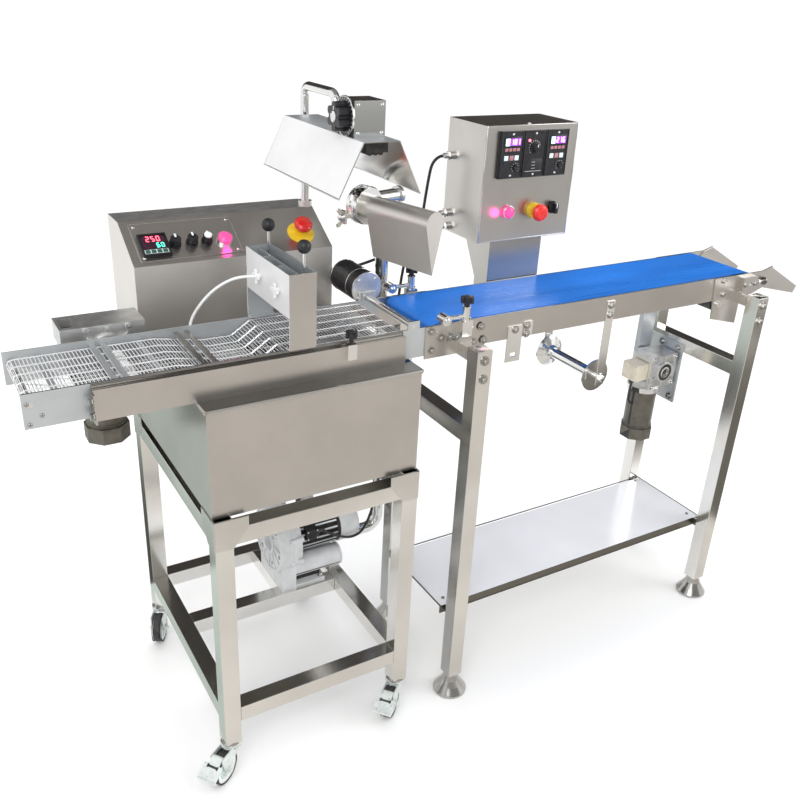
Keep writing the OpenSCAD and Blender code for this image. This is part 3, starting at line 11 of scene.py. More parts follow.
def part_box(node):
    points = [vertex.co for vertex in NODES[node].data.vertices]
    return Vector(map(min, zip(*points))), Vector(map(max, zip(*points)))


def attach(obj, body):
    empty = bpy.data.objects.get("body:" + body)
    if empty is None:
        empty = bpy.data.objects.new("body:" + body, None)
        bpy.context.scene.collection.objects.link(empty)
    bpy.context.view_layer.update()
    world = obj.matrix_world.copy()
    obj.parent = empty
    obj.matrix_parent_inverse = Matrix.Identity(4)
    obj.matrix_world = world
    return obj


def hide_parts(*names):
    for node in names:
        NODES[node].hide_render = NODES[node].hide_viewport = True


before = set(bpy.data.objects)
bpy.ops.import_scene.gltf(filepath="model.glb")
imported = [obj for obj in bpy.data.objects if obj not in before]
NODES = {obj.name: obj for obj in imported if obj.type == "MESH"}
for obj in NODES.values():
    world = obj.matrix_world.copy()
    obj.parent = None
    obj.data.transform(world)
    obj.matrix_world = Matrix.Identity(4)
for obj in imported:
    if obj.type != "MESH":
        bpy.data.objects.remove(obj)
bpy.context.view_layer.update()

bl_info = {
    "name": "Chocolate enrober",
    "version": (1, 0, 0),
    "blender": (4, 5, 0),
    "location": "3D View > Sidebar > Enrober",
    "description": "Finishes and fine pieces of an enrober line with a docked belt conveyor",
    "category": "Add Mesh",
}

MM = 0.001
ORIGIN_X = 595.0

# Lines of the machine in millimetres, from the left front leg of the stand
RAIL_Y0 = 62
RAIL_Y1 = 264
TAIL_Z = 952
LEG_X = (595, 1472)
LEG_Y = (0, 315)
LEG_HALF = 19
LEG_TOP = 935
CROSS_Z0 = 712
CROSS_Z1 = 751
GUIDE_X = 587
SPINDLE = (1015, 765)
SHAFT = (-100, 945.5)
DRIVE_ROLLER = (1395, 905)
DETAIL_MOTOR = (466, 1002)
CURTAIN_X = 185

# Speed box, with places on its front from the lower left corner
BOX_X = 757
BOX_Y = 264
BOX_Z = 1076
BOX_W = 267
BOX_H = 267
MODULE_U = 37
MODULE_V = 149
MODULE_W = 66
PILOT = (79, 69)
BOX_STOP = (157, 67)
SELECTOR = (212, 71)

# Cabinet, with places along the row of instruments on its slope
CAB_X = -15
CAB_Y = 380
CAB_SLOPE_Z = 1072
SLOPE_RISE = 68
SLOPE_RUN = 109
SLOPE = math.atan2(SLOPE_RISE, SLOPE_RUN)
ROW_V = math.hypot(SLOPE_RISE, SLOPE_RUN) * 0.38
METER_U = 55
BUTTON_U = 209
STOP_U = 390

# Heat lamp and blower
LAMP_X = 400
DIAL_Y = 191
DIAL_Z = 1385
HOOD_Z0 = 1246.6
HOOD_Z1 = 1348.2
BLOW_Y = 395.27
BLOW_Z = 310

# Casters, with their turns in degrees, the trail and the axle height
CASTER_SPOTS = ((19, 19), (441, 19), (19, 546), (441, 546))
CASTER_TURN = (-145, -139, -119, -128)
TRAIL = 35
AXLE_Z = 37.5

# Ways that a surface faces
FRONT, BACK, LEFT, RIGHT, UP = (0, -1, 0), (0, 1, 0), (-1, 0, 0), (1, 0, 0), (0, 0, 1)


def spot(x, y, z):
    """Point of the machine in the metres of the frame."""
    return Vector(((x - ORIGIN_X) * MM, y * MM, z * MM))


def spot_mm(point):
    """Machine millimetres of a scene point."""
    return Vector((point[0] / MM + ORIGIN_X, point[1] / MM, point[2] / MM))


def basis(at, out, up=(0, 0, 1)):
    """Frame at a machine point whose third axis points out of the surface, in millimetres."""
    w = Vector(out).normalized()
    v = Vector(up)
    if abs(v.normalized().dot(w)) > 0.99:
        v = Vector((0, 1, 0))
    v = (v - w * v.dot(w)).normalized()
    u = v.cross(w)
    turn = Matrix((u, v, w)).transposed().to_4x4()
    return Matrix.Translation(spot(*at)) @ turn @ Matrix.Scale(MM, 4)


def on_slope(u, v, w=0):
    """Frame on the sloping front of the cabinet."""
    base = Matrix.Translation(spot(CAB_X, CAB_Y, CAB_SLOPE_Z)) @ Matrix.Rotation(SLOPE, 4, "X")
    return base @ Matrix.Scale(MM, 4) @ Matrix.Translation((u, v, w))


def on_box(u, v, w=0):
    """Frame on the front of the speed box."""
    base = Matrix.Translation(spot(BOX_X, BOX_Y, BOX_Z)) @ Matrix.Rotation(math.pi / 2, 4, "X")
    return base @ Matrix.Scale(MM, 4) @ Matrix.Translation((u, v, w))


def upright(x, y, z=0):
    """Frame at a machine point with the axes of the machine, in millimetres."""
    return Matrix.Translation(spot(x, y, z)) @ Matrix.Scale(MM, 4)


def round_points(radius, count, shift=0.0):
    """Even points round a circle, turned by a share of their step."""
    turns = [2 * math.pi * (k + shift) / count for k in range(count)]
    return [(radius * math.cos(a), radius * math.sin(a)) for a in turns]


def spokes(place, count, shift=0.0):
    """Copies of a frame turned evenly round its third axis."""
    return [place @ Matrix.Rotation(2 * math.pi * (k + shift) / count, 4, "Z") for k in range(count)]


ROOM = upright(0, 0)


class Piece:
    """Mesh of one piece, built in millimetres in a frame, with a finish for each face."""

    def __init__(self, name):
        self.name = name
        self.mesh = bmesh.new()
        self.finishes = []
        self.index = 0

    def use(self, finish):
        """Finish of the faces made from here on, by its name or as a material."""
        finish = look(finish) if isinstance(finish, str) else finish
        if finish not in self.finishes:
            self.finishes.append(finish)
        self.index = self.finishes.index(finish)
        return self

    def faces(self, made):
        for f in made:
            f.material_index = self.index
            f.smooth = True

    def block(self, low, high, place=ROOM, edge=0.0):
        """Block between two corners with rounded edges."""
        low, high = Vector(low), Vector(high)
        size = high - low
        move = place @ Matrix.Translation((low + high) / 2) @ Matrix.Diagonal((*size, 1))
        out = bmesh.ops.create_cube(self.mesh, size=1, matrix=move)
        made = {f for v in out["verts"] for f in v.link_faces}
        if edge:
            edges = list({e for f in made for e in f.edges})
            cut = bmesh.ops.bevel(self.mesh, geom=edges, offset=edge * MM, segments=2, affect="EDGES",
                                  profile=0.5)
            made = {f for v in cut["verts"] for f in v.link_faces} | {f for f in made if f.is_valid}
        self.faces(made)

    def lathe(self, place, profile, sides=28, ends=True):
        """Turned form round the third axis of a frame, from (radius, height) points."""
        rings = []
        for r, h in profile:
            ring = round_points(r, sides) if r else [(0, 0)]
            rings.append([self.mesh.verts.new(place @ Vector((x, y, h))) for x, y in ring])
        made = []
        for a, b in zip(rings, rings[1:]):
            for k in range(sides):
                quad = [a[k % len(a)], a[(k + 1) % len(a)], b[(k + 1) % len(b)], b[k % len(b)]]
                ring = list(dict.fromkeys(quad))
                if len(ring) > 2:
                    made.append(self.mesh.faces.new(ring))
        for end in (rings[0], rings[-1]) if ends else ():
            if len(end) > 2:
                made.append(self.mesh.faces.new(end if end is rings[-1] else end[::-1]))
        self.faces(made)

    def rod(self, a, b, r, sides=14, end=0.0, place=ROOM):
        """Round rod between two points, with chamfered ends."""
        a, b = Vector(a), Vector(b)
        length = (b - a).length
        w = (b - a).normalized()
        v = Vector((0, 0, 1)) if abs(w.z) < 0.9 else Vector((1, 0, 0))
        v = (v - w * v.dot(w)).normalized()
        turn = Matrix((v.cross(w), v, w)).transposed().to_4x4()
        profile = [(r, 0), (r, length)]
        if end:
            profile = [(r - end, 0), (r, end), (r, length - end), (r - end, length)]
        self.lathe(place @ Matrix.Translation(a) @ turn, profile, sides)

    def prism(self, place, outline, low, high):
        """Upright prism over an outline in the first two axes of a frame."""
        bottom = [self.mesh.verts.new(place @ Vector((x, y, low))) for x, y in outline]
        top = [self.mesh.verts.new(place @ Vector((x, y, high))) for x, y in outline]
        n = len(outline)
        made = [self.mesh.faces.new(top), self.mesh.faces.new(bottom[::-1])]
        for k in range(n):
            j = (k + 1) % n
            made.append(self.mesh.faces.new([bottom[k], bottom[j], top[j], top[k]]))
        self.faces(made)

    def sweep(self, points, r, sides=6, place=ROOM):
        """Wire along a row of points."""
        points = [Vector(p) for p in points]
        rings = []
        side = None
        for i, p in enumerate(points):
            t = (points[min(i + 1, len(points) - 1)] - points[max(i - 1, 0)]).normalized()
            if side is None:
                side = Vector((0, 0, 1)) if abs(t.z) < 0.9 else Vector((1, 0, 0))
            side = (side - t * side.dot(t)).normalized()
            other = t.cross(side)
            rings.append([self.mesh.verts.new(place @ (p + x * side + y * other))
                          for x, y in round_points(r, sides)])
        made = [self.mesh.faces.new(rings[0][::-1]), self.mesh.faces.new(rings[-1])]
        for a, b in zip(rings, rings[1:]):
            for k in range(sides):
                j = (k + 1) % sides
                made.append(self.mesh.faces.new([a[k], a[j], b[j], b[k]]))
        self.faces(made)

    def hex_bolt(self, at, out, d=12.0, washer=True):
        """Hexagon head on a washer."""
        place = basis(at, out)
        base = 0.0
        if washer:
            self.lathe(place, [(0, -0.2), (d * 0.85, -0.2), (d * 0.85, d * 0.12), (0, d * 0.12)], 20)
            base = d * 0.12
        self.prism(place, round_points(d * 0.55, 6), base, base + d * 0.42)
        self.lathe(place, [(d * 0.47, base + d * 0.42), (d * 0.4, base + d * 0.5), (0, base + d * 0.52)], 16)

    def screw_head(self, place, d):
        """Domed screw head on a frame."""
        self.lathe(place, [(d / 2, -0.2), (d / 2, d * 0.12), (d * 0.43, d * 0.24), (d * 0.28, d * 0.33),
                           (0, d * 0.36)], 18)

    def pan_screw(self, at, out, d=8.0):
        """Domed screw head at a machine point."""
        self.screw_head(basis(at, out), d)

    def done(self, body, slot, replaces=(), smooth=35.0):
        """Mesh object of the piece, riding on a body."""
        bmesh.ops.recalc_face_normals(self.mesh, faces=self.mesh.faces)
        data = bpy.data.meshes.new(self.name)
        self.mesh.to_mesh(data)
        self.mesh.free()
        for finish in self.finishes:
            data.materials.append(finish)
        item = bpy.data.objects.new(self.name, data)
        bpy.context.scene.collection.objects.link(item)
        sharpen(item, smooth)
        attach(item, body)
        if replaces:
            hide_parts(*replaces)


def sharpen(item, angle):
    """Smooth shading with creases kept sharp."""
    item.data.set_sharp_from_angle(angle=math.radians(angle))


class EnroberColours(bpy.types.PropertyGroup):
    """Colours of the finishes."""
    sheet: bpy.props.FloatVectorProperty(
        name="Brushed sheet", description="Colour of the brushed sheet of the tank, trough and boxes",
        subtype="COLOR", size=3, min=0, max=1, default=(0.60, 0.575, 0.545))
    tube: bpy.props.FloatVectorProperty(
        name="Frame tube", description="Colour of the square frame tube",
        subtype="COLOR", size=3, min=0, max=1, default=(0.80, 0.785, 0.755))
    bright: bpy.props.FloatVectorProperty(
        name="Bright steel", description="Colour of polished pipe, plates and fasteners",
        subtype="COLOR", size=3, min=0, max=1, default=(0.80, 0.80, 0.79))
    alloy: bpy.props.FloatVectorProperty(
        name="Satin alloy", description="Colour of the side plates of the mesh bed",
        subtype="COLOR", size=3, min=0, max=1, default=(0.60, 0.63, 0.645))
    # Whiter finish for the left-facing sides of the curtain box and the hood: painted light on the lit sides
    pale: bpy.props.FloatVectorProperty(
        name="Lit side alloy", description="Colour of the left sides of the curtain box and the hood",
        subtype="COLOR", size=3, min=0, max=1, default=(0.82, 0.82, 0.83))
    zinc: bpy.props.FloatVectorProperty(
        name="Zinc", description="Colour of the zinc plated caster forks",
        subtype="COLOR", size=3, min=0, max=1, default=(0.74, 0.79, 0.77))
    film: bpy.props.FloatVectorProperty(
        name="Shelf film", description="Colour of the filmed shelf sheet",
        subtype="COLOR", size=3, min=0, max=1, default=(0.84, 0.85, 0.88))
    # Steel of bolts and feet, also painted as dark reflection on the conveyor legs' left faces and the speed
    # box post
    bolt: bpy.props.FloatVectorProperty(
        name="Bolts and feet", description="Colour of the machined bolts and levelling feet",
        subtype="COLOR", size=3, min=0, max=1, default=(0.44, 0.43, 0.41))
    # Near-black steel for painted shadow: the side faces and edge strips of the shelf and the underside of
    # the tank
    edge: bpy.props.FloatVectorProperty(
        name="Shadow edge", description="Colour of the folded edges of the shelf",
        subtype="COLOR", size=3, min=0, max=1, default=(0.17, 0.16, 0.135))
    casting: bpy.props.FloatVectorProperty(
        name="Casting", description="Colour of the cast gearboxes",
        subtype="COLOR", size=3, min=0, max=1, default=(0.80, 0.80, 0.79))
    blower: bpy.props.FloatVectorProperty(
        name="Blower", description="Colour of the painted blower casting",
        subtype="COLOR", size=3, min=0, max=1, default=(0.68, 0.69, 0.70))
    motor: bpy.props.FloatVectorProperty(
        name="Motor", description="Colour of the painted motor bodies",
        subtype="COLOR", size=3, min=0, max=1, default=(0.115, 0.105, 0.085))
    belt: bpy.props.FloatVectorProperty(
        name="Belt", description="Colour of the conveyor belt",
        subtype="COLOR", size=3, min=0, max=1, default=(0.014, 0.180, 0.68))
    black: bpy.props.FloatVectorProperty(
        name="Black plastic", description="Colour of knobs, modules and the heater",
        subtype="COLOR", size=3, min=0, max=1, default=(0.012, 0.012, 0.014))
    red: bpy.props.FloatVectorProperty(
        name="Stop button", description="Colour of the stop button heads",
        subtype="COLOR", size=3, min=0, max=1, default=(0.78, 0.025, 0.02))
    yellow: bpy.props.FloatVectorProperty(
        name="Stop button ring", description="Colour of the ring under a stop button",
        subtype="COLOR", size=3, min=0, max=1, default=(0.86, 0.60, 0.03))
    lit: bpy.props.FloatVectorProperty(
        name="Lit lens", description="Colour of the lit button and the pilot lamp",
        subtype="COLOR", size=3, min=0, max=1, default=(1.0, 0.10, 0.36))
    beige: bpy.props.FloatVectorProperty(
        name="Junction box", description="Colour of the junction box of the conveyor motor",
        subtype="COLOR", size=3, min=0, max=1, default=(0.66, 0.60, 0.47))
    white: bpy.props.FloatVectorProperty(
        name="White plastic", description="Colour of the sprockets, hose and wheel cores",
        subtype="COLOR", size=3, min=0, max=1, default=(0.86, 0.86, 0.85))
    floor: bpy.props.FloatVectorProperty(
        name="Floor", description="Colour of the plain floor",
        subtype="COLOR", size=3, min=0, max=1, default=(0.95, 0.95, 0.95))


class EnroberSizes(bpy.types.PropertyGroup):
    """Sizes of the fine pieces."""
    wire: bpy.props.FloatProperty(
        name="Mesh wire", description="Thickness of the wires of the mesh belt",
        default=0.0020, min=0.001, max=0.003, unit="LENGTH", precision=4)
    wire_pitch: bpy.props.FloatProperty(
        name="Wire pitch", description="Distance between the cross wires of the mesh belt",
        default=0.0068, min=0.004, max=0.012, unit="LENGTH", precision=4)
    bolt: bpy.props.FloatProperty(
        name="Bolt head", description="Width of the bolt heads of the stands",
        default=0.013, min=0.008, max=0.018, unit="LENGTH", precision=4)
    cable: bpy.props.FloatProperty(
        name="Cable", description="Diameter of the black cables",
        default=0.007, min=0.005, max=0.009, unit="LENGTH", precision=4)
    hose: bpy.props.FloatProperty(
        name="Hose", description="Diameter of the white hose",
        default=0.006, min=0.004, max=0.008, unit="LENGTH", precision=4)
    tube_edge: bpy.props.FloatProperty(
        name="Tube edge", description="Radius of the edges of the square tube",
        default=0.003, min=0.001, max=0.005, unit="LENGTH", precision=4)
    halo: bpy.props.FloatProperty(
        name="Lens glow", description="Power of the light that a lit lens throws on its sheet",
        default=0.03, min=0.0, max=2.0, unit="POWER")


class EnroberStage(bpy.types.PropertyGroup):
    """Light of the studio."""
    key: bpy.props.FloatProperty(
        name="Key light", description="Power of the large lamp over the left of the camera",
        default=60.0, min=0.0, max=1000.0, unit="POWER")
    fill: bpy.props.FloatProperty(
        name="Fill light", description="Power of the lamp on the right",
        default=35.0, min=0.0, max=1000.0, unit="POWER")
    sky: bpy.props.FloatProperty(
        name="Sky", description="Strength of the even light all round",
        default=1.08, min=0.0, max=3.0)


EVEN = (1, 1, 1)
GRAIN = {"x": (0.012, 1, 1), "y": (1, 0.012, 1), "z": (1, 1, 0.012)}
NOISE_SPAN = (0.3, 0.7)


class Finish:
    """Node material with a principled shader and short calls for its textures."""

    def __init__(self, name, colour, rough, metal=0.0):
        self.mat = bpy.data.materials.new(name)
        self.mat.use_nodes = True
        self.tree = self.mat.node_tree
        self.tree.nodes.clear()
        self.shader = self.node("BsdfPrincipled", {"Base Color": (*colour, 1), "Roughness": rough,
                                                   "Metallic": metal})
        self.link(self.shader.outputs[0], self.node("OutputMaterial").inputs[0])
        self.coords = self.node("TexCoord").outputs["Object"]
        self.normal = None

    def node(self, kind, values=None):
        """New shader node with some of its inputs set."""
        made = self.tree.nodes.new("ShaderNode" + kind)
        for socket, value in (values or {}).items():
            made.inputs[socket].default_value = value
        return made

    def link(self, a, b):
        self.tree.links.new(a, b)

    def noise(self, scale, detail=3.0, stretch=EVEN, rough=0.55):
        """Noise over the object, in cycles per metre, stretched along the axes."""
        mapping = self.node("Mapping", {"Scale": stretch})
        self.link(self.coords, mapping.inputs["Vector"])
        node = self.node("TexNoise", {"Scale": scale, "Detail": detail, "Roughness": rough})
        self.link(mapping.outputs[0], node.inputs["Vector"])
        return node.outputs[0]

    def tint(self, source, dark, light):
        """Base colour between two shades."""
        node = self.node("ValToRGB")
        for end, position, colour in zip(node.color_ramp.elements, NOISE_SPAN, (dark, light)):
            end.position = position
            end.color = (*colour, 1)
        self.link(source, node.inputs[0])
        self.link(node.outputs[0], self.shader.inputs["Base Color"])
        return node.outputs[0]

    def light(self, source, strength):
        """Light of the surface, in the colour of a source."""
        self.link(source, self.shader.inputs["Emission Color"])
        self.shader.inputs["Emission Strength"].default_value = strength

    def gloss(self, source, low, high):
        """Roughness between two values."""
        node = self.node("MapRange", {"From Min": NOISE_SPAN[0], "From Max": NOISE_SPAN[1],
                                      "To Min": low, "To Max": high})
        self.link(source, node.inputs["Value"])
        self.link(node.outputs[0], self.shader.inputs["Roughness"])

    def relief(self, source, strength, distance):
        """Bump, added to what is there already."""
        node = self.node("Bump", {"Strength": strength, "Distance": distance})
        self.link(source, node.inputs["Height"])
        if self.normal:
            self.link(self.normal, node.inputs["Normal"])
        self.normal = node.outputs[0]
        self.link(self.normal, self.shader.inputs["Normal"])

    def cloth(self):
        """Faint cloth structure of a coated belt."""
        wave = self.node("TexWave", {"Scale": 190, "Distortion": 1.0})
        self.link(self.coords, wave.inputs["Vector"])
        self.relief(wave.outputs[1], 0.05, 0.0002)


def shade(colour, k):
    """Colour made darker or lighter."""
    return tuple(min(1.0, c * k) for c in colour)


def once(make):
    """Keeps each finish after its first making."""
    kept = {}

    def get(*args):
        if args not in kept:
            kept[args] = make(*args)
        return kept[args]
    return get


def colours():
    return bpy.context.scene.enrober_colours


def sizes():
    return bpy.context.scene.enrober_sizes


# Steels: colour, its tone, roughness, depth of the grain, metal, and the grain where it is fixed
STEELS = {
    "brushed sheet": ("sheet", 1, 0.30, 0.32, 1, None),
    "frame tube": ("tube", 1, 0.17, 0.14, 1, None),
    "bright steel": ("bright", 1, 0.15, 0.10, 1, None),
    # Dark steel of the bolts, also used as painted dark reflection on some faces
    "bolt steel": ("bolt", 1, 0.22, 0.1, 1, "z"),
    # Brushed sheet at 0.55 of its colour for level tops and the trough guard: painted dark reflection of the
    # room above
    "level sheet": ("sheet", 0.55, 0.2, 0.2, 1, "x"),
    # Brushed sheet 1.22 times lighter for the cabinet and the air knife: painted light over their dark
    # reflections
    "cabinet sheet": ("sheet", 1.22, 0.37, 0.3, 0.78, "x"),
    "corner sheet": ("tube", 0.88, 0.24, 0.2, 1, "x"),
    # Near-black steel: painted shadow along the shelf edges and under the tank
    "folded edge": ("edge", 1, 0.34, 0.2, 1, "x"),
}
KEY = (0.4, 0, ((160, 3), 0.85, 1.1), ((300, 2), 0.3, 0.5), None)
# Other finishes: colour, roughness, metal, then noise (scale, detail, stretch, roughness) with the
# dark and the light of the tint, noise with the range of the roughness, and noise with the
# strength and the depth of the relief
TONES = {
    "film sheet": ("film", 0.2, 0.15, ((5, 2), 0.95, 1.03), ((14, 2), 0.13, 0.20),
                   ((9, 2, (0.35, 1, 1)), 0.06, 0.003)),
    # Whiter finish for left-facing sides: painted light
    "pale alloy": ("pale", 0.42, 0.2, ((9, 4), 0.95, 1.04), ((160, 3, GRAIN["z"]), 0.36, 0.48), None),
    "satin alloy": ("alloy", 0.42, 0.75, ((12, 4), 0.93, 1.05), ((160, 3, GRAIN["x"]), 0.34, 0.50),
                    ((700, 2, GRAIN["x"]), 0.20, 0.0001)),
    "zinc plate": ("zinc", 0.34, 0.55, ((60, 5, EVEN, 0.65), 0.80, 1.1), ((120, 4), 0.24, 0.48),
                   ((300, 3), 0.12, 0.0002)),
    "cast alloy": ("casting", 0.36, 0.9, ((35, 5), 0.78, 1.1), ((200, 4), 0.28, 0.44),
                   ((650, 3), 0.35, 0.0005)),
    "blower paint": ("blower", 0.42, 0.15, ((30, 5), 0.88, 1.06), ((120, 4), 0.34, 0.52),
                     ((500, 3), 0.25, 0.0004)),
    "motor paint": ("motor", 0.38, 0.25, ((40, 4), 0.75, 1.3), ((150, 4), 0.30, 0.5),
                    ((420, 3), 0.22, 0.0004)),
    "black plastic": ("black", 0.36, 0, ((90, 4), 0.7, 1.9), ((240, 3), 0.26, 0.46),
                      ((1400, 2), 0.12, 0.0002)),
    # Near black of the heater rods and motor parts, also painted shade in the gearbox pocket and under the
    # blower
    "heater black": ((0.02, 0.018, 0.017), 0.6, 0.2, ((60, 5), (0.012, 0.011, 0.010), (0.05, 0.043, 0.04)),
                     ((90, 4), 0.45, 0.75), None),
    "stop red": ("red", 0.22, 0, ((40, 3), 0.86, 1.08), ((120, 3), 0.16, 0.30), None),
    "ring yellow": ("yellow", 0.35, 0, ((50, 3), 0.85, 1.08), ((120, 3), 0.28, 0.45), None),
    "lit lens": ("lit", 0.16, 0, ((70, 2), 0.55, (0.70, 0.06, 0.24)), ((150, 2), 0.10, 0.24), None),
    "display glass": ((0.03, 0.010, 0.020), 0.08, 0, ((40, 2), (0.022, 0.006, 0.014), (0.05, 0.015, 0.03)),
                      ((60, 2), 0.05, 0.12), None),
    "blue belt": ("belt", 0.34, 0, ((4, 4, (0.5, 2.0, 1)), 0.82, 1.22), ((40, 4, (0.08, 1, 1)), 0.22, 0.44),
                  ((900, 2), 0.10, 0.0002)),
    "tyre rubber": ((0.022, 0.022, 0.024), 0.58, 0, ((45, 5), (0.014, 0.014, 0.015), (0.06, 0.058, 0.055)),
                    ((110, 3), 0.45, 0.72), ((600, 3), 0.22, 0.0003)),
    "cable rubber": ((0.016, 0.016, 0.017), 0.42, 0, ((30, 4), (0.010, 0.010, 0.011), (0.035, 0.035, 0.036)),
                     ((80, 3), 0.34, 0.55), None),
    "white plastic": ("white", 0.34, 0, ((30, 4), 0.9, 1.04), ((90, 3), 0.26, 0.44), None),
    "wheel core": ((0.82, 0.83, 0.83), 0.4, 0, ((45, 4), (0.72, 0.73, 0.73), (0.86, 0.87, 0.87)),
                   ((90, 3), 0.32, 0.5), None),
    "junction beige": ("beige", 0.45, 0, ((40, 4), 0.85, 1.08), ((120, 3), 0.36, 0.55),
                       ((500, 2), 0.15, 0.0003)),
    "mesh wire": ((0.84, 0.84, 0.85), 0.26, 0.5, ((25, 4), (0.76, 0.76, 0.77), (0.90, 0.90, 0.91)),
                  ((400, 2), 0.16, 0.32), None),
    "green key": ((0.02, 0.11, 0.08), *KEY),
    "rose key": ((0.46, 0.20, 0.22), *KEY),
    "white key": ((0.72, 0.86, 0.86), *KEY),
    "hub cover": ((0.52, 0.66, 0.62), *KEY),
}
# Further shader settings: clear coats and the depth of white plastic
FURTHER = {
    "film sheet": {"Coat Weight": 0.35, "Coat Roughness": 0.12},
    "stop red": {"Coat Weight": 0.4, "Coat Roughness": 0.08},
    "white plastic": {"Subsurface Weight": 0.08},
}


@once
def look(name):
    """Finish from the tables. The name of a steel may end with the axis of its grain."""
    return toned(name) if name in TONES else steel(name)


def steel(name):
    """Steel with a grain along one axis, cloudy sheen and fine handling marks."""
    kind = name if name in STEELS else name[:-2]
    source, tone, rough, relief, metal, grain = STEELS[kind]
    colour = shade(getattr(colours(), source), tone)
    f = Finish(name, colour, rough, metal)
    stretch = GRAIN[grain or name[-1]]
    f.tint(f.noise(7, 4), shade(colour, 0.94), shade(colour, 1.05))
    f.gloss(f.noise(520, 3, stretch), rough * 0.95, rough * 1.06)
    f.relief(f.noise(900, 2, stretch), relief * 0.2, 0.00005)
    f.relief(f.noise(3.2, 2), 0.08, 0.012)
    return f.mat


def toned(name):
    """Finish with a cloudy tint, an uneven sheen and a fine relief."""
    colour, rough, metal, (cloud, *ends), (sheen, *range_of), relief = TONES[name]
    colour = tuple(getattr(colours(), colour)) if isinstance(colour, str) else colour
    f = Finish(name, colour, rough, metal)
    dark, light = (end if isinstance(end, tuple) else shade(colour, end) for end in ends)
    ramp = f.tint(f.noise(*cloud), dark, light)
    f.gloss(f.noise(*sheen), *range_of)
    if name == "blue belt":
        f.cloth()
    if relief:
        grit, strength, depth = relief
        f.relief(f.noise(*grit), strength, depth)
    if name == "lit lens":
        f.light(ramp, 0.9)
    for socket, value in FURTHER.get(name, {}).items():
        f.shader.inputs[socket].default_value = value
    return f.mat


@once
def glow(name, colour, strength):
    """Lit figures and fields of the displays."""
    f = Finish(name, colour, 0.3)
    ramp = f.tint(f.noise(300, 2), shade(colour, 0.8), colour)
    f.light(ramp, strength)
    return f.mat


def dress(node, finish, *rules):
    """Finishes of a frame node: one for all its faces, and others where a rule on a face's
    middle in machine millimetres and its normal holds."""
    data = NODES[node].data
    data.materials.clear()
    for name in (finish, *(other for other, _ in rules)):
        data.materials.append(look(name))
    for face in data.polygons:
        face.material_index = 0
        for k, (_, rule) in enumerate(rules):
            if rule(spot_mm(face.center), face.normal):
                face.material_index = k + 1


def round_edges(node, width):
    """Rounded edges on a frame node, by modifiers that leave its mesh as it is."""
    item = NODES[node]
    weld = item.modifiers.new("weld", "WELD")
    weld.merge_threshold = 0.00002
    flat = item.modifiers.new("flat", "DECIMATE")
    flat.decimate_type = "DISSOLVE"
    flat.angle_limit = math.radians(0.8)
    edge = item.modifiers.new("edge", "BEVEL")
    edge.width = width
    edge.segments = 2
    edge.limit_method = "ANGLE"
    edge.angle_limit = math.radians(50)
    edge.harden_normals = False


CAMERA_AT = (-1.036164, -1.366987, 1.619284)
CAMERA_YAW = math.radians(31.691505)
CAMERA_PITCH = math.radians(-25.461324)
CAMERA_ROLL = math.radians(2.927288)
CAMERA_LENS = 39.28394
CAMERA_SENSOR = 36.0
FLOOR_SIZE = 60.0
# Cards that show only in the reflections of the steel: name, middle, way it faces, size, colour
CARDS = (
    ("near_floor_card", (0.4, -0.42, 0.004), UP, (6.0, 0.72), (0.60, 0.57, 0.53)),
    ("front_floor_card", (0.4, -2.0, 0.004), UP, (7.0, 2.4), (0.52, 0.485, 0.445)),
    ("left_floor_card", (-1.77, 1.3, 0.004), UP, (2.3, 3.2), (0.50, 0.57, 0.53)),
    ("inner_floor_card", (-0.45, 1.65, 0.005), UP, (0.8, 1.8), (0.045, 0.04, 0.034)),
    ("right_floor_card", (2.05, -0.75, 0.006), UP, (1.6, 1.2), (0.085, 0.08, 0.062)),
    ("end_floor_card", (3.12, -1.7, 0.006), UP, (0.55, 0.9), (0.06, 0.055, 0.05)),
    ("far_floor_card", (0.4, -8.0, 0.004), UP, (18.0, 9.4), (0.20, 0.20, 0.185)),
    ("back_wall_card", (2.7, 4.7, 4.6), (-0.42, -0.72, -0.55), (15.0, 8.4), (0.028, 0.024, 0.021)),
    ("ceiling_card", (0.75, 0.9, 4.4), (0, 0, -1), (4.6, 3.6), (0.22, 0.21, 0.20)),
    ("cabinet_floor_card", (1.1, -4.5, 0.007), UP, (4.0, 3.0), (0.50, 0.48, 0.46)),
    ("front_wall_card", (-1.0, -5.2, 4.6), (0.1, 0.78, -0.6), (15.0, 7.0), (0.30, 0.30, 0.29)),
)


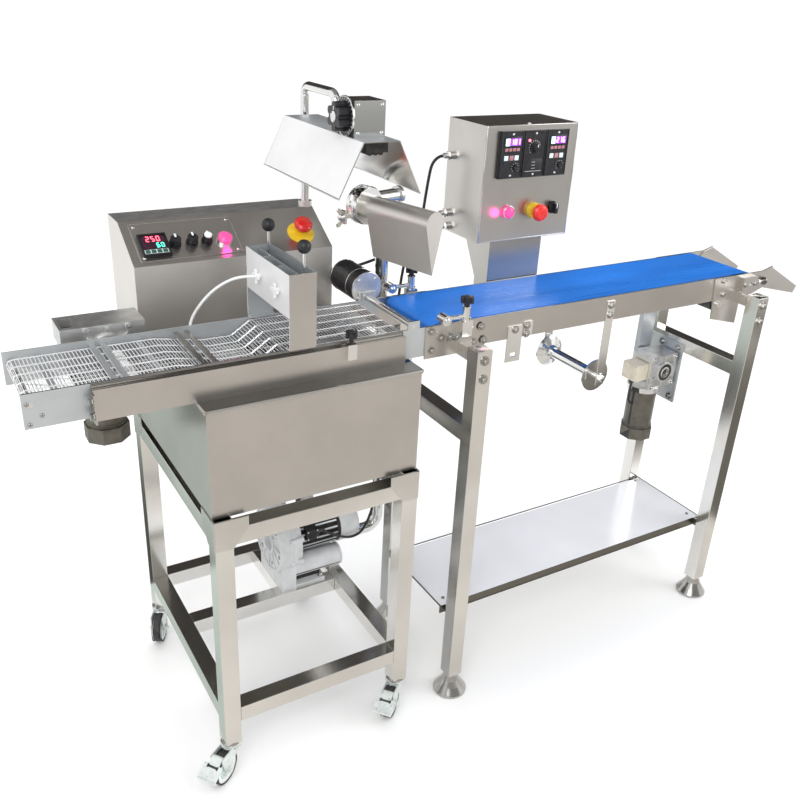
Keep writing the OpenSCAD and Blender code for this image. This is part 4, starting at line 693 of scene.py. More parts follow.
class MakeStage(bpy.types.Operator):
    """Lay the pale floor, hang the lamps and set the camera"""
    bl_idname = "enrober.stage"
    bl_label = "Stage"

    def execute(self, context):
        scene = context.scene
        setting = scene.enrober_stage
        self.camera(scene)
        self.floor()
        self.lamp("key lamp", (-2.4, -2.6, 3.4), (-0.1, 0.1, 0.7), 2.6, setting.key)
        self.lamp("fill lamp", (3.0, -2.0, 2.6), (0.2, 0.1, 0.6), 2.2, setting.fill)
        self.lamp("back lamp", (0.6, 2.8, 3.0), (0.0, 0.2, 0.8), 2.0, setting.fill * 0.7, False)
        world = bpy.data.worlds.new("studio")
        world.use_nodes = True
        world.node_tree.nodes["Background"].inputs[0].default_value = (1, 1, 1, 1)
        world.node_tree.nodes["Background"].inputs[1].default_value = setting.sky
        scene.world = world
        scene.view_settings.view_transform = "Standard"
        for card in CARDS:
            self.card(*card)
        return {"FINISHED"}

    @staticmethod
    def camera(scene):
        data = bpy.data.cameras.new("camera")
        data.lens = CAMERA_LENS
        data.sensor_width = CAMERA_SENSOR
        camera = bpy.data.objects.new("camera", data)
        scene.collection.objects.link(camera)
        turn = (Matrix.Rotation(-CAMERA_YAW, 4, "Z") @ Matrix.Rotation(math.pi / 2 + CAMERA_PITCH, 4, "X")
                @ Matrix.Rotation(CAMERA_ROLL, 4, "Z"))
        camera.matrix_world = Matrix.Translation(CAMERA_AT) @ turn
        scene.camera = camera

    @staticmethod
    def sheet(name, size, colour, rough, scale, low, high):
        """Flat sheet with a faintly cloudy colour."""
        x, y = size[0] / 2, size[1] / 2
        data = bpy.data.meshes.new(name)
        data.from_pydata([(-x, -y, 0), (x, -y, 0), (x, y, 0), (-x, y, 0)], [], [(0, 1, 2, 3)])
        f = Finish(name, colour, rough)
        f.tint(f.noise(scale), shade(colour, low), shade(colour, high))
        data.materials.append(f.mat)
        item = bpy.data.objects.new(name, data)
        bpy.context.scene.collection.objects.link(item)
        return item

    def floor(self):
        item = self.sheet("floor", (FLOOR_SIZE, FLOOR_SIZE), tuple(colours().floor), 0.8, 0.8, 0.985, 1.01)
        item.location.z = -0.001

    @staticmethod
    def lamp(name, at, aim, size, power, mirrored=True):
        data = bpy.data.lights.new(name, "AREA")
        data.shape = "DISK"
        data.size = size
        data.energy = power
        item = bpy.data.objects.new(name, data)
        item.visible_glossy = mirrored
        item.location = at
        item.rotation_euler = (Vector(aim) - Vector(at)).to_track_quat("-Z", "Y").to_euler()
        bpy.context.scene.collection.objects.link(item)

    def card(self, name, at, out, size, colour):
        item = self.sheet(name, size, colour, 0.9, 1.5, 0.8, 1.2)
        item.location = at
        item.rotation_euler = Vector(out).to_track_quat("Z", "Y").to_euler()
        item.visible_camera = False
        item.visible_diffuse = False
        item.visible_shadow = False
        item.visible_transmission = False


HOSE_ROUTE = [(175, 201.52, 1084), (160, 203, 1085), (138, 212, 1081), (115, 224, 1068), (95, 238, 1048),
              (78, 252, 1022), (66, 262, 998), (60, 267, 978), (58, 268, 960)]
UPPER_ROUTE = [(737, 395, 1257), (727, 395, 1256.6), (715.5, 395.4, 1252), (706.5, 396.6, 1242.5),
               (701.8, 399, 1228), (699.5, 404, 1196), (698, 409, 1160), (694, 412, 1120),
               (680, 414, 1080), (642, 416, 1046), (592, 419, 1022), (542, 422, 1008),
               (502, 418, 1003), (478, 406, 1002), (468, 392, 1002), (466, 376, 1002)]
LOWER_ROUTE = [(737, 396, 1120), (720, 396, 1119), (690, 396, 1105), (662, 396, 1070), (642, 396, 1015),
               (630, 396, 940), (622, 396, 840), (614, 396, 720), (606, 397, 600), (596, 390, 500),
               (578, 376, 410), (548, 354, 340), (515, 338, 302), (484, 337, 290), (450, 337, 300),
               (421, 341, 316), (400, 345, 328), (384, 347.27, 330)]


def flowing(route, steps):
    """Points of a smooth curve through a route."""
    points = []
    p = [spot(*q) for q in route]
    last = len(p) - 1
    for k in range(last):
        a, b, c, d = p[max(k - 1, 0)], p[k], p[k + 1], p[min(k + 2, last)]
        for i in range(steps):
            t = i / steps
            points.append(0.5 * (2 * b + (c - a) * t + (2 * a - 5 * b + 4 * c - d) * t ** 2
                                 + (3 * b - a - 3 * c + d) * t ** 3))
    return points + [p[last]]


class MakeCords(bpy.types.Operator):
    """Hang the white hose and the two black cables"""
    bl_idname = "enrober.cords"
    bl_label = "Hose and cables"

    def execute(self, context):
        size = sizes()
        self.cord("feed_hose", "white_hose", HOSE_ROUTE, size.hose, "white plastic", "white plastic")
        for name, node, route in (("module_cable", "upper_cable", UPPER_ROUTE),
                                  ("blower_cable", "lower_cable", LOWER_ROUTE)):
            self.cord(name, node, route, size.cable, "cable rubber", "black rubber")
        return {"FINISHED"}

    @staticmethod
    def cord(name, node, route, diameter, finish, slot):
        points = flowing(route, 3)
        data = bpy.data.curves.new(name, "CURVE")
        data.dimensions = "3D"
        data.bevel_depth = diameter / 2
        data.bevel_resolution = 4
        data.use_fill_caps = True
        line = data.splines.new("POLY")
        line.points.add(len(points) - 1)
        for target, p in zip(line.points, points):
            target.co = (*p, 1)
        line.use_smooth = True
        data.materials.append(look(finish))
        item = bpy.data.objects.new(name, data)
        bpy.context.scene.collection.objects.link(item)
        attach(item, "base")
        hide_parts(node)


# Nodes with one finish all over
PLAIN = {
    "frame tube z": ("enrober_legs",),
    "corner sheet": ("frame_plates",),
    "bolt steel": ("levelling_feet",),
    "bright steel x": ("paper_spindle",),
    "bright steel y": ("mesh_nose_roller", "detailing_roller", "conveyor_tip_roller", "conveyor_tail_roller",
                       "rail_fittings"),
    "bright steel z": ("chocolate_feed", "lamp_arm", "air_pipe"),
    "brushed sheet x": ("conveyor_rails", "end_plates"),
    # Air knife in the lightened copy of the sheet: painted light
    "cabinet sheet": ("air_knife",),
    "blue belt": ("conveyor_belt",),
    "black plastic": ("bed_star_knob", "heat_knob", "pump_knob", "air_knob", "lamp_dial", "guide_knob_front",
                      "guide_knob_back", "box_selector"),
    "lit lens": ("lit_button",),
    "stop red": ("cabinet_stop", "box_stop"),
    "zinc plate": ("caster_fork_1", "caster_fork_2", "caster_fork_3", "caster_fork_4", "brake_pedal_1",
                   "brake_pedal_2"),
}


class DressFrame(bpy.types.Operator):
    """Give each node of the frame its finish and its rounded edges"""
    bl_idname = "enrober.frame"
    bl_label = "Frame finishes"

    def execute(self, context):
        for finish, nodes in PLAIN.items():
            for node in nodes:
                dress(node, finish)
        self.stands()
        self.tank_and_bed()
        self.cabinet_and_lamp()
        self.blower()
        self.conveyor()
        self.casters()
        for item in NODES.values():
            if not item.modifiers:
                sharpen(item, 32.0)
        return {"FINISHED"}

    @staticmethod
    def stands():
        dress("enrober_rails", "frame tube x", ("frame tube y", lambda c, n: abs(n.x) > 0.5))
        dress("conveyor_legs", "frame tube z",
              ("frame tube y", lambda c, n: CROSS_Z0 < c.z < CROSS_Z1 and 0 < c.y < 290 and abs(n.x) > 0.5),
              # Left faces of the conveyor's left legs in the dark bolt steel: painted dark reflection
              ("bolt steel", lambda c, n: n.x < -0.5 and c.x < 577 and not CROSS_Z0 < c.z < CROSS_Z1))
        # Side faces of the shelf in near-black steel: painted shadow at its edges
        dress("shelf", "film sheet", ("folded edge", lambda c, n: n.z < 0.5))
        for node in ("enrober_legs", "enrober_rails", "conveyor_legs"):
            round_edges(node, sizes().tube_edge)

    @staticmethod
    def tank_and_bed():
        def on_top(c, n):
            return n.z > 0.9

        # Top faces of the tank and trough in the darker copy of the sheet: painted dark reflection on level
        # faces
        # Undersides of the tank in near-black steel: painted shadow under the tank
        dress("tank", "brushed sheet x", ("level sheet", on_top), ("folded edge", lambda c, n: n.z < -0.9))
        dress("bed_trough", "brushed sheet x", ("level sheet", on_top))
        # Top faces of the front side plates in the darker copy of the sheet: painted dark reflection
        dress("bed_frame", "satin alloy", ("level sheet", lambda c, n: n.z > 0.5 and c.y < 66 and c.x > -186),
              ("bolt steel", lambda c, n: 72 < c.y < 254 and c.z > 925 and abs(n.x) < 0.98 and c.x > -20))
        dress("mesh_belt", "mesh wire", ("bolt steel", lambda c, n: 138 < c.x < 183 and c.z > 940))
        low, high = (spot_mm(p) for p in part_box("curtain_box"))
        dress("curtain_box", "brushed sheet z",
              # Left side face of the box in the whiter finish: painted light
              ("pale alloy", lambda c, n: abs(c.x - CURTAIN_X) < 0.6),
              # Inside faces of the box in the lighter satin alloy: painted light inside the box
              ("satin alloy", lambda c, n: CURTAIN_X + 1 < c.x < 240 and low.y + 1 < c.y < high.y - 1),
              ("white plastic", lambda c, n: c.x < CURTAIN_X - 1))
        dress("mesh_drive_shaft", "bright steel y",
              ("white plastic", lambda c, n: 78 < c.y < 250 and reach(c, SHAFT) > 8.3))
        for node in ("gate_rod_front", "gate_rod_back"):
            dress(node, "bright steel z", ("black plastic", lambda c, n: c.z > 1158))
        dress("bed_gearmotors", "cast alloy",
              ("motor paint", lambda c, n: c.x < 100 and c.z < 884),
              # Floor of the gearbox pocket in near black: painted shade in the recess
              ("heater black", lambda c, n: c.x < -100 and c.y > 289 and 955 < c.z < 992 and n.z > 0.5),
              ("black plastic", lambda c, n: c.x > 300 and c.y > 300))

    @staticmethod
    def cabinet_and_lamp():
        # Cabinet in the lightened copy of the sheet as painted light; its sloping front keeps the plain sheet
        dress("control_cabinet", "cabinet sheet", ("brushed sheet x", lambda c, n: n.y < -0.3 and n.z > 0.3),
              ("cast alloy", lambda c, n: n.z > 0.9))
        dress("instrument_panel", "brushed sheet x",
              ("black plastic", lambda c, n: abs(c.x - CAB_X - METER_U) < 31 and c.z > CAB_SLOPE_Z + 4
               and slope_height(c) > 2.6),
              ("bright steel x", lambda c, n: abs(c.x - CAB_X - BUTTON_U) < 20 and slope_height(c) > 2.4),
              ("ring yellow", lambda c, n: c.x - CAB_X > STOP_U - 50))
        # Left-facing slopes of the hood in the whiter finish: painted light
        dress("lamp_hood", "bright steel y", ("pale alloy", lambda c, n: n.x < -0.3 and n.z > 0.2),
              ("satin alloy", lambda c, n: n.z > 0.9 and c.z < 1356),
              ("black plastic", lambda c, n: 362.9 < c.x < 366.2 and abs(c.y - DIAL_Y) < 39 and c.z > 1345),
              ("heater black", lambda c, n: 1325 < c.z < 1347.6 and abs(c.x - LAMP_X) < 24.3
               and 124 < c.y < 451))

    @staticmethod
    def blower():
        dress("blower", "blower paint",
              ("heater black", lambda c, n: 330.1 < c.x < 454.9
               and math.hypot(c.y - BLOW_Y, c.z - BLOW_Z) < 48.3),
              ("black plastic", lambda c, n: 351 < c.x < 385 and c.y < 361 and 315.5 < c.z < 344.5),
              # Side faces of the blower base under the silencers in near black: painted shadow in the gap
              # there
              ("heater black", lambda c, n: c.x > 316.5 and 195 < c.z < 225 and abs(n.z) < 0.5))

    @staticmethod
    def conveyor():
        dress("conveyor_gearmotor", "cast alloy",
              ("motor paint", lambda c, n: c.x < 1440 and c.z < 597.5 and c.y < 285),
              ("cable rubber", lambda c, n: c.x < 1330 and c.z < 637.5 and c.y < 231),
              ("junction beige", lambda c, n: c.x < 1346.5 and c.z > 637.5),
              ("satin alloy", lambda c, n: c.x > 1443.4 or c.y > 276))
        dress("conveyor_drive_roller", "tyre rubber",
              ("bright steel y", lambda c, n: reach(c, DRIVE_ROLLER) < 8.3))
        # Front of the post under the speed box in the dark bolt steel: painted dark reflection
        dress("speed_box", "brushed sheet z", ("bolt steel", lambda c, n: c.z < BOX_Z - 1 and n.y < -0.5))
        dress("speed_modules", "black plastic",
              ("lit lens", lambda c, n: abs(c.x - BOX_X - PILOT[0]) < 17 and c.z < BOX_Z + 100),
              ("ring yellow", lambda c, n: abs(c.x - BOX_X - BOX_STOP[0]) < 20 and c.z < BOX_Z + 100))

    @staticmethod
    def casters():
        for k in range(1, 5):
            low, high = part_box(f"caster_wheel_{k}")
            centre = spot_mm((low + high) / 2)
            dress(f"caster_wheel_{k}", "tyre rubber", ("wheel core", tyre_rule(k, centre)))


def reach(c, axis):
    """Distance of a machine point from an axis across the machine."""
    return math.hypot(c.x - axis[0], c.z - axis[1])


def tyre_rule(k, centre):
    """Rule for the faces of a caster wheel inside its tyre."""
    a = math.radians(CASTER_TURN[k - 1])
    along = Vector((math.cos(a), math.sin(a), 0))

    def rule(c, n):
        d = c - centre
        return math.hypot(d.dot(along), d.z) < 33.5
    return rule


def slope_height(c):
    """Height of a machine point over the sloping front of the cabinet."""
    return -(c.y - CAB_Y) * math.sin(SLOPE) + (c.z - CAB_SLOPE_Z) * math.cos(SLOPE)


MESH_PATH = [(-20, 963), (80, 945), (140, 945), (182, 973)]
MESH_Y0 = 70
MESH_Y1 = 256
MESH_R = 8.984
LINK_LINES = 6
HOOK_W = 3.2
OUTLET = (436, 964.016)
NOSE = (-283, 954.016)
RETURN_Z = 922


def mesh_loop():
    """Closed path of the mesh belt in the XZ plane."""
    def arc(centre, start, end, steps=6):
        turns = [math.radians(start + (end - start) * i / steps) for i in range(steps + 1)]
        return [(centre[0] + MESH_R * math.cos(a), centre[1] + MESH_R * math.sin(a)) for a in turns]

    return (MESH_PATH + arc(OUTLET, 90, -90) + [(OUTLET[0] - 70, RETURN_Z), (-187, RETURN_Z)]
            + arc(NOSE, 270, 90))


class MakeMesh(bpy.types.Operator):
    """Weave the wire mesh belt round its path"""
    bl_idname = "enrober.mesh"
    bl_label = "Wire mesh belt"

    def execute(self, context):
        size = sizes()
        r = size.wire / MM / 2
        loop = mesh_loop()
        legs = [math.dist(a, b) for a, b in zip(loop, loop[1:] + loop[:1])]
        total = sum(legs)
        count = round(total / (size.wire_pitch / MM))
        step = total / count

        def along(s):
            s %= total
            for (a, b), leg in zip(zip(loop, loop[1:] + loop[:1]), legs):
                if s <= leg:
                    t = s / leg
                    return a[0] + (b[0] - a[0]) * t, a[1] + (b[1] - a[1]) * t
                s -= leg
            return loop[0]

        piece = Piece("mesh_weave").use("mesh wire")
        gap = (MESH_Y1 - MESH_Y0 - 4) / (LINK_LINES - 1)
        for i in range(count):
            x, z = along(i * step)
            x2, z2 = along((i + 1) * step + r)
            piece.sweep([(x, MESH_Y0 + 1, z), (x, MESH_Y1 - 1, z)], r, 5)
            for k in range(LINK_LINES):
                y = MESH_Y0 + 2 + gap * k
                for side in (-HOOK_W / 2, HOOK_W / 2):
                    piece.sweep([(x, y + side, z + 0.3), (x2, y + side, z2 + 0.3)], r * 0.8, 4)
        piece.done("base", "wire mesh", ("mesh_belt",), 60.0)
        return {"FINISHED"}


SEGMENTS = {"0": "abcdef", "1": "bc", "2": "abged", "5": "afgcd", "6": "afgedc", "8": "abcdefg"}


def figures(piece, place, text, x, y, height, low, high):
    """Row of seven-bar figures on a display."""
    w, t, h = height * 0.52, height * 0.14, height / 2
    bars = {"a": (t * 0.6, height - t, w - t * 0.6, height), "d": (t * 0.6, 0, w - t * 0.6, t),
            "g": (t * 0.6, h - t / 2, w - t * 0.6, h + t / 2), "f": (0, h + t * 0.3, t, height - t * 0.4),
            "b": (w - t, h + t * 0.3, w, height - t * 0.4), "e": (0, t * 0.4, t, h - t * 0.3),
            "c": (w - t, t * 0.4, w, h - t * 0.3)}
    for k, figure in enumerate(text):
        left = x + k * w * 1.42
        for bar in SEGMENTS[figure]:
            x0, y0, x1, y1 = bars[bar]
            piece.block((left + x0, y + y0, low), (left + x1, y + y1, high), place)


def frame_strips(piece, place, low, high, width, base, top, edge):
    """Raised border round a rectangle."""
    (x0, y0), (x1, y1) = low, high
    piece.block((x0, y0, base), (x0 + width, y1, top), place, edge)
    piece.block((x1 - width, y0, base), (x1, y1, top), place, edge)
    piece.block((x0 + width, y0, base), (x1 - width, y0 + width, top), place, edge)
    piece.block((x0 + width, y1 - width, base), (x1 - width, y1, top), place, edge)


def ticks(piece, place, radius, length, start, end, count, base, top, width=0.8):
    """Scale marks round the third axis of a frame, angles in degrees from its first axis."""
    for k in range(count):
        turn = Matrix.Rotation(math.radians(start + (end - start) * k / (count - 1)), 4, "Z")
        piece.block((radius, -width / 2, base), (radius + length, width / 2, top), place @ turn)


def halo(name, place):
    """Small coloured light that a lit lens throws on the sheet beside it."""
    data = bpy.data.lights.new(name, "POINT")
    data.energy = sizes().halo
    data.color = (1.0, 0.03, 0.35)
    data.shadow_soft_size = 0.012
    item = bpy.data.objects.new(name, data)
    item.location = place.translation
    item.visible_camera = False
    bpy.context.scene.collection.objects.link(item)


def stop_cap(name, body, place):
    """Crowned top of a stop button with its grip ribs."""
    cap = Piece(name).use("stop red")
    cap.lathe(place, [(16.4, 35.7), (15.9, 37.0), (13.5, 38.1), (8, 38.7), (0, 38.9)], 40)
    for turn in spokes(place, 24):
        cap.block((19.7, -1.3, 25), (20.5, 1.3, 31), turn, 0.3)
    cap.done(body, "red plastic")


class MakeInstruments(bpy.types.Operator):
    """Fit the instrument plate of the cabinet: controller face, screws, knob grips and pointers"""
    bl_idname = "enrober.instruments"
    bl_label = "Instrument plate"

    def execute(self, context):
        self.controller(on_slope(METER_U, ROW_V))
        screws = Piece("plate_screws").use("bright steel x")
        for u, v in product((27, 231), (20, 108)):
            screws.screw_head(on_slope(u, v, 2), 8)
        # Bright raised strips round the plate: painted highlight along its edges
        frame_strips(screws, on_slope(0, 0), (18, 11), (240, 117.5), 1.5, 1.8, 2.5, 0.3)
        screws.done("base", "bright steel")
        halo("button glow", on_slope(BUTTON_U, ROW_V - 24, 12))
        for body, u, d in (("heat_knob", 99, 26), ("pump_knob", 136, 26), ("air_knob", 169, 24)):
            self.grip(body, on_slope(u, ROW_V), d)
        lens = Piece("button_rings").use("lit lens")
        lens.lathe(on_slope(BUTTON_U, ROW_V), [(10.8, 15.7), (9.5, 17.2), (6, 18.2), (0, 18.5)], 32)
        lens.done("lit_button", "lit plastic")
        stop_cap("cabinet_stop_cap", "cabinet_stop", on_slope(STOP_U, ROW_V))
        return {"FINISHED"}

    @staticmethod
    def controller(place):
        face = Piece("controller_face").use("black plastic")
        frame_strips(face, place, (-30, -30), (30, 30), 4, 8.9, 12, 0.9)
        face.use("display glass").block((-25, -11, 8.9), (25, 25, 9.8), place, 0.3)
        face.use(glow("red figures", (1.0, 0.10, 0.16), 3.2))
        figures(face, place, "250", -15, 8, 15, 9.7, 10.1)
        face.use(glow("green figures", (0.08, 0.85, 0.55), 2.4))
        figures(face, place, "60", 4, -9, 13, 9.7, 10.1)
        face.use("white plastic").block((-25, -25, 8.9), (25, -13, 9.5), place, 0.3)
        face.use("green key")
        for k in range(4):
            face.block((-23.5 + 12.2 * k, -23.5, 9.4), (-13.5 + 12.2 * k, -14.5, 10.9), place, 0.8)
        face.done("base", "black plastic")

    @staticmethod
    def grip(body, place, d):
        grip = Piece(body + "_grip").use("black plastic")
        for turn in spokes(place, 20, 0.5):
            grip.block((d * 0.39, -0.9, 7.6), (d * 0.435, 0.9, 21.2), turn, 0.3)
        grip.use("white plastic")
        if body == "air_knob":
            grip.lathe(place, [(8.4, 21.8), (8.4, 24.6), (7.2, 25.4), (0, 25.6)], 28)
        grip.block((-2.2, d * 0.06, 23.8), (2.2, d * 0.43, 24.9), place, 0.4)
        grip.block((-1.6, d * 0.40, 8.5), (1.6, d * 0.45, 24), place, 0.4)
        grip.done(body, "black plastic")


def module_face(name, place):
    """Face of a speed module, begun with its raised border."""
    face = Piece(name).use("black plastic")
    frame_strips(face, place, (0.5, 0.5), (63.5, 105.5), 2.4, 8.9, 10.3, 0.5)
    return face


def module_screws(face, place):
    """Screws at the top and bottom of a speed module."""
    face.use("bright steel x")
    for v in (6.5, 99):
        face.screw_head(place @ Matrix.Translation((32, v, 9)), 6.5)


class MakeSpeedFace(bpy.types.Operator):
    """Fit the faces of the speed modules, the lamp ring, the selector pointer and the box screws"""
    bl_idname = "enrober.speed_face"
    bl_label = "Speed box face"

    def execute(self, context):
        self.drive("left_module_face", on_box(MODULE_U, MODULE_V), "181")
        self.drive("right_module_face", on_box(MODULE_U + 2 * MODULE_W, MODULE_V), "216")
        self.dial(on_box(MODULE_U + MODULE_W, MODULE_V))
        ring = Piece("pilot_ring").use("bright steel x")
        rim = [(13.4, 6.1), (13.4, 8.4), (14.2, 9.2), (16, 8.8), (16.6, 7), (16.2, 5.8)]
        ring.lathe(on_box(*PILOT), rim, 36, False)
        ring.use("lit lens").lathe(on_box(*PILOT), [(10.8, 13.7), (9, 15.2), (5, 16.1), (0, 16.4)], 32)
        ring.done("base", "bright steel")
        halo("pilot glow", on_box(54, 66, 14))
        pointer = Piece("selector_pointer").use("white plastic")
        pointer.block((-1.3, 1, 21.8), (1.3, 12.2, 22.5), on_box(*SELECTOR), 0.3)
        pointer.block((-1.3, 11.8, 13.5), (1.3, 12.4, 22.2), on_box(*SELECTOR), 0.2)
        pointer.use("black plastic")
        for turn in spokes(on_box(*SELECTOR), 22):
            pointer.block((12.6, -0.9, 5.8), (13.5, 0.9, 12.8), turn, 0.3)
        pointer.done("box_selector", "black plastic")
        stop_cap("box_stop_cap", "box_stop", on_box(*BOX_STOP))
        shell = Piece("box_trim").use("bright steel x")
        frame_strips(shell, on_box(0, 0), (0.4, 0.4), (BOX_W - 0.4, BOX_H - 0.4), 2.2, -0.1, 0.9, 0.4)
        shell.pan_screw((BOX_X + 128, BOX_Y + 12, BOX_Z + BOX_H), UP, 9)
        for z in (40, 227):
            shell.pan_screw((BOX_X + BOX_W, BOX_Y + 14, BOX_Z + z), RIGHT, 9)
        for y, z in ((131, 181), (132, 44), (130, 12)):
            gland = basis((BOX_X - 19.5, BOX_Y + y, BOX_Z + z), LEFT)
            shell.lathe(gland, [(6.5, 0), (6.3, 4), (4.6, 7.5), (3.7, 8)], 20)
            nut = basis((BOX_X - 9, BOX_Y + y, BOX_Z + z), LEFT)
            shell.prism(nut, round_points(10.4, 6), 0, 5)
        shell.done("base", "bright steel")
        return {"FINISHED"}

    @staticmethod
    def drive(name, place, text):
        face = module_face(name, place)
        face.block((8, 70, 8.9), (58, 94, 9.8), place, 0.5)
        face.use(glow("violet field", (0.30, 0.05, 0.55), 1.3))
        face.block((12, 74, 9.7), (55, 90, 10.2), place, 0.2)
        face.use(glow("cyan field", (0.55, 0.95, 1.0), 1.6))
        face.block((12, 74, 10.1), (23, 90, 10.4), place)
        face.use(glow("pink figures", (1.0, 0.55, 0.95), 2.6))
        figures(face, place, text, 27, 76, 12.5, 10.1, 10.5)
        face.use("rose key")
        for k in range(4):
            face.block((12 + 11 * k, 61.5, 8.9), (20.5 + 11 * k, 68.5, 10.3), place, 0.6)
        face.use("white key").block((11, 41, 8.9), (22.5, 52, 10.6), place, 0.9)
        face.block((40.5, 41, 8.9), (52, 52, 10.6), place, 0.9)
        face.use("rose key").block((26, 41, 8.9), (37.5, 52, 10.6), place, 0.9)
        knob = place @ Matrix.Translation((45, 24, 0))
        face.use("black plastic").lathe(knob, [(7, 8.8), (7, 13), (6, 15), (0, 15.3)], 26)
        face.use("white plastic")
        ticks(face, knob, 9, 2.2, -45, 225, 9, 8.9, 9.4, 0.7)
        module_screws(face, place)
        face.done("base", "black plastic")

    @staticmethod
    def dial(place):
        face = module_face("middle_module_face", place)
        face.block((8, 12, 8.9), (56, 42, 9.7), place, 0.5)
        knob = place @ Matrix.Translation((31, 67, 0))
        face.lathe(knob, [(12, 8.8), (12, 11), (10, 12), (9.4, 20), (8.4, 21.5), (0, 21.8)], 32)
        face.use("white plastic").block((-0.8, 2, 21.6), (0.8, 9, 22.2), knob)
        ticks(face, knob, 14.5, 3, -40, 220, 13, 8.9, 9.4, 0.8)
        for v in (20, 27, 34):
            face.block((26, v, 9.6), (36, v + 0.8, 9.9), place)
        face.block((8, 13.5, 9.6), (56, 14.2, 9.9), place)
        face.use(glow("red lamp", (1.0, 0.16, 0.22), 3.5))
        lamp = place @ Matrix.Translation((14, 84, 0))
        face.lathe(lamp, [(3.2, 8.8), (3.2, 10.4), (2.2, 11.6), (0, 12)], 18)
        module_screws(face, place)
        face.done("base", "black plastic")


class MakeLampTrim(bpy.types.Operator):
    """Fit the dial scale, the hub cap, the folded hood edges and the heater rods of the lamp"""
    bl_idname = "enrober.lamp_trim"
    bl_label = "Heat lamp trim"

    def execute(self, context):
        scale = basis((363, DIAL_Y, DIAL_Z), LEFT)
        trim = Piece("dial_scale").use("bright steel z")
        trim.lathe(scale, [(38.2, -2.5), (38.6, 0.4), (37.4, 1.4), (36, 0.9), (36, -0.2)], 48, False)
        trim.use("white plastic")
        ticks(trim, scale, 30.5, 4.5, -60, 240, 21, -0.1, 0.35, 1.1)
        trim.use("bright steel x")
        for z, x in product((1357, 1409), (374, 426)):
            trim.pan_screw((x, 157, z), FRONT, 7)
        trim.done("lamp", "bright steel")
        cap = Piece("dial_cap").use("bright steel y")
        front = basis((338.7, DIAL_Y, DIAL_Z), LEFT)
        cap.lathe(front, [(11, -0.3), (11, 1.2), (9.6, 2.2), (0, 2.5)], 32)
        cap.use("white plastic").block((-0.9, 12.5, -0.2), (0.9, 19, 0.5), front, 0.2)
        cap.done("lamp_dial", "black plastic")
        hood = Piece("hood_edges").use("bright steel y")
        for side in (-1, 1):
            top, low = LAMP_X + side * 39.5, LAMP_X + side * 90.2
            hood.sweep([(low, 105.5, HOOD_Z0), (low, 469.5, HOOD_Z0)], 1.8, 10)
            for y in (106, 469):
                hood.sweep([(top, y, HOOD_Z1), (low, y, HOOD_Z0)], 1.4, 8)
        hood.use("heater black")
        for x in (LAMP_X - 12, LAMP_X, LAMP_X + 12):
            hood.sweep([(x, 130, 1323.5), (x, 446, 1323.5)], 4.5, 12)
        hood.done("lamp", "bright steel")
        return {"FINISHED"}


SPLICE = ((508, 966), (533, 948), (556, 947), (574, 944), (511, 923), (637, 958), (619, 925), (646, 925),
          (764, 941), (764, 922), (732, 936), (1402, 966), (1408, 930), (1015, 954), (1015, 930))


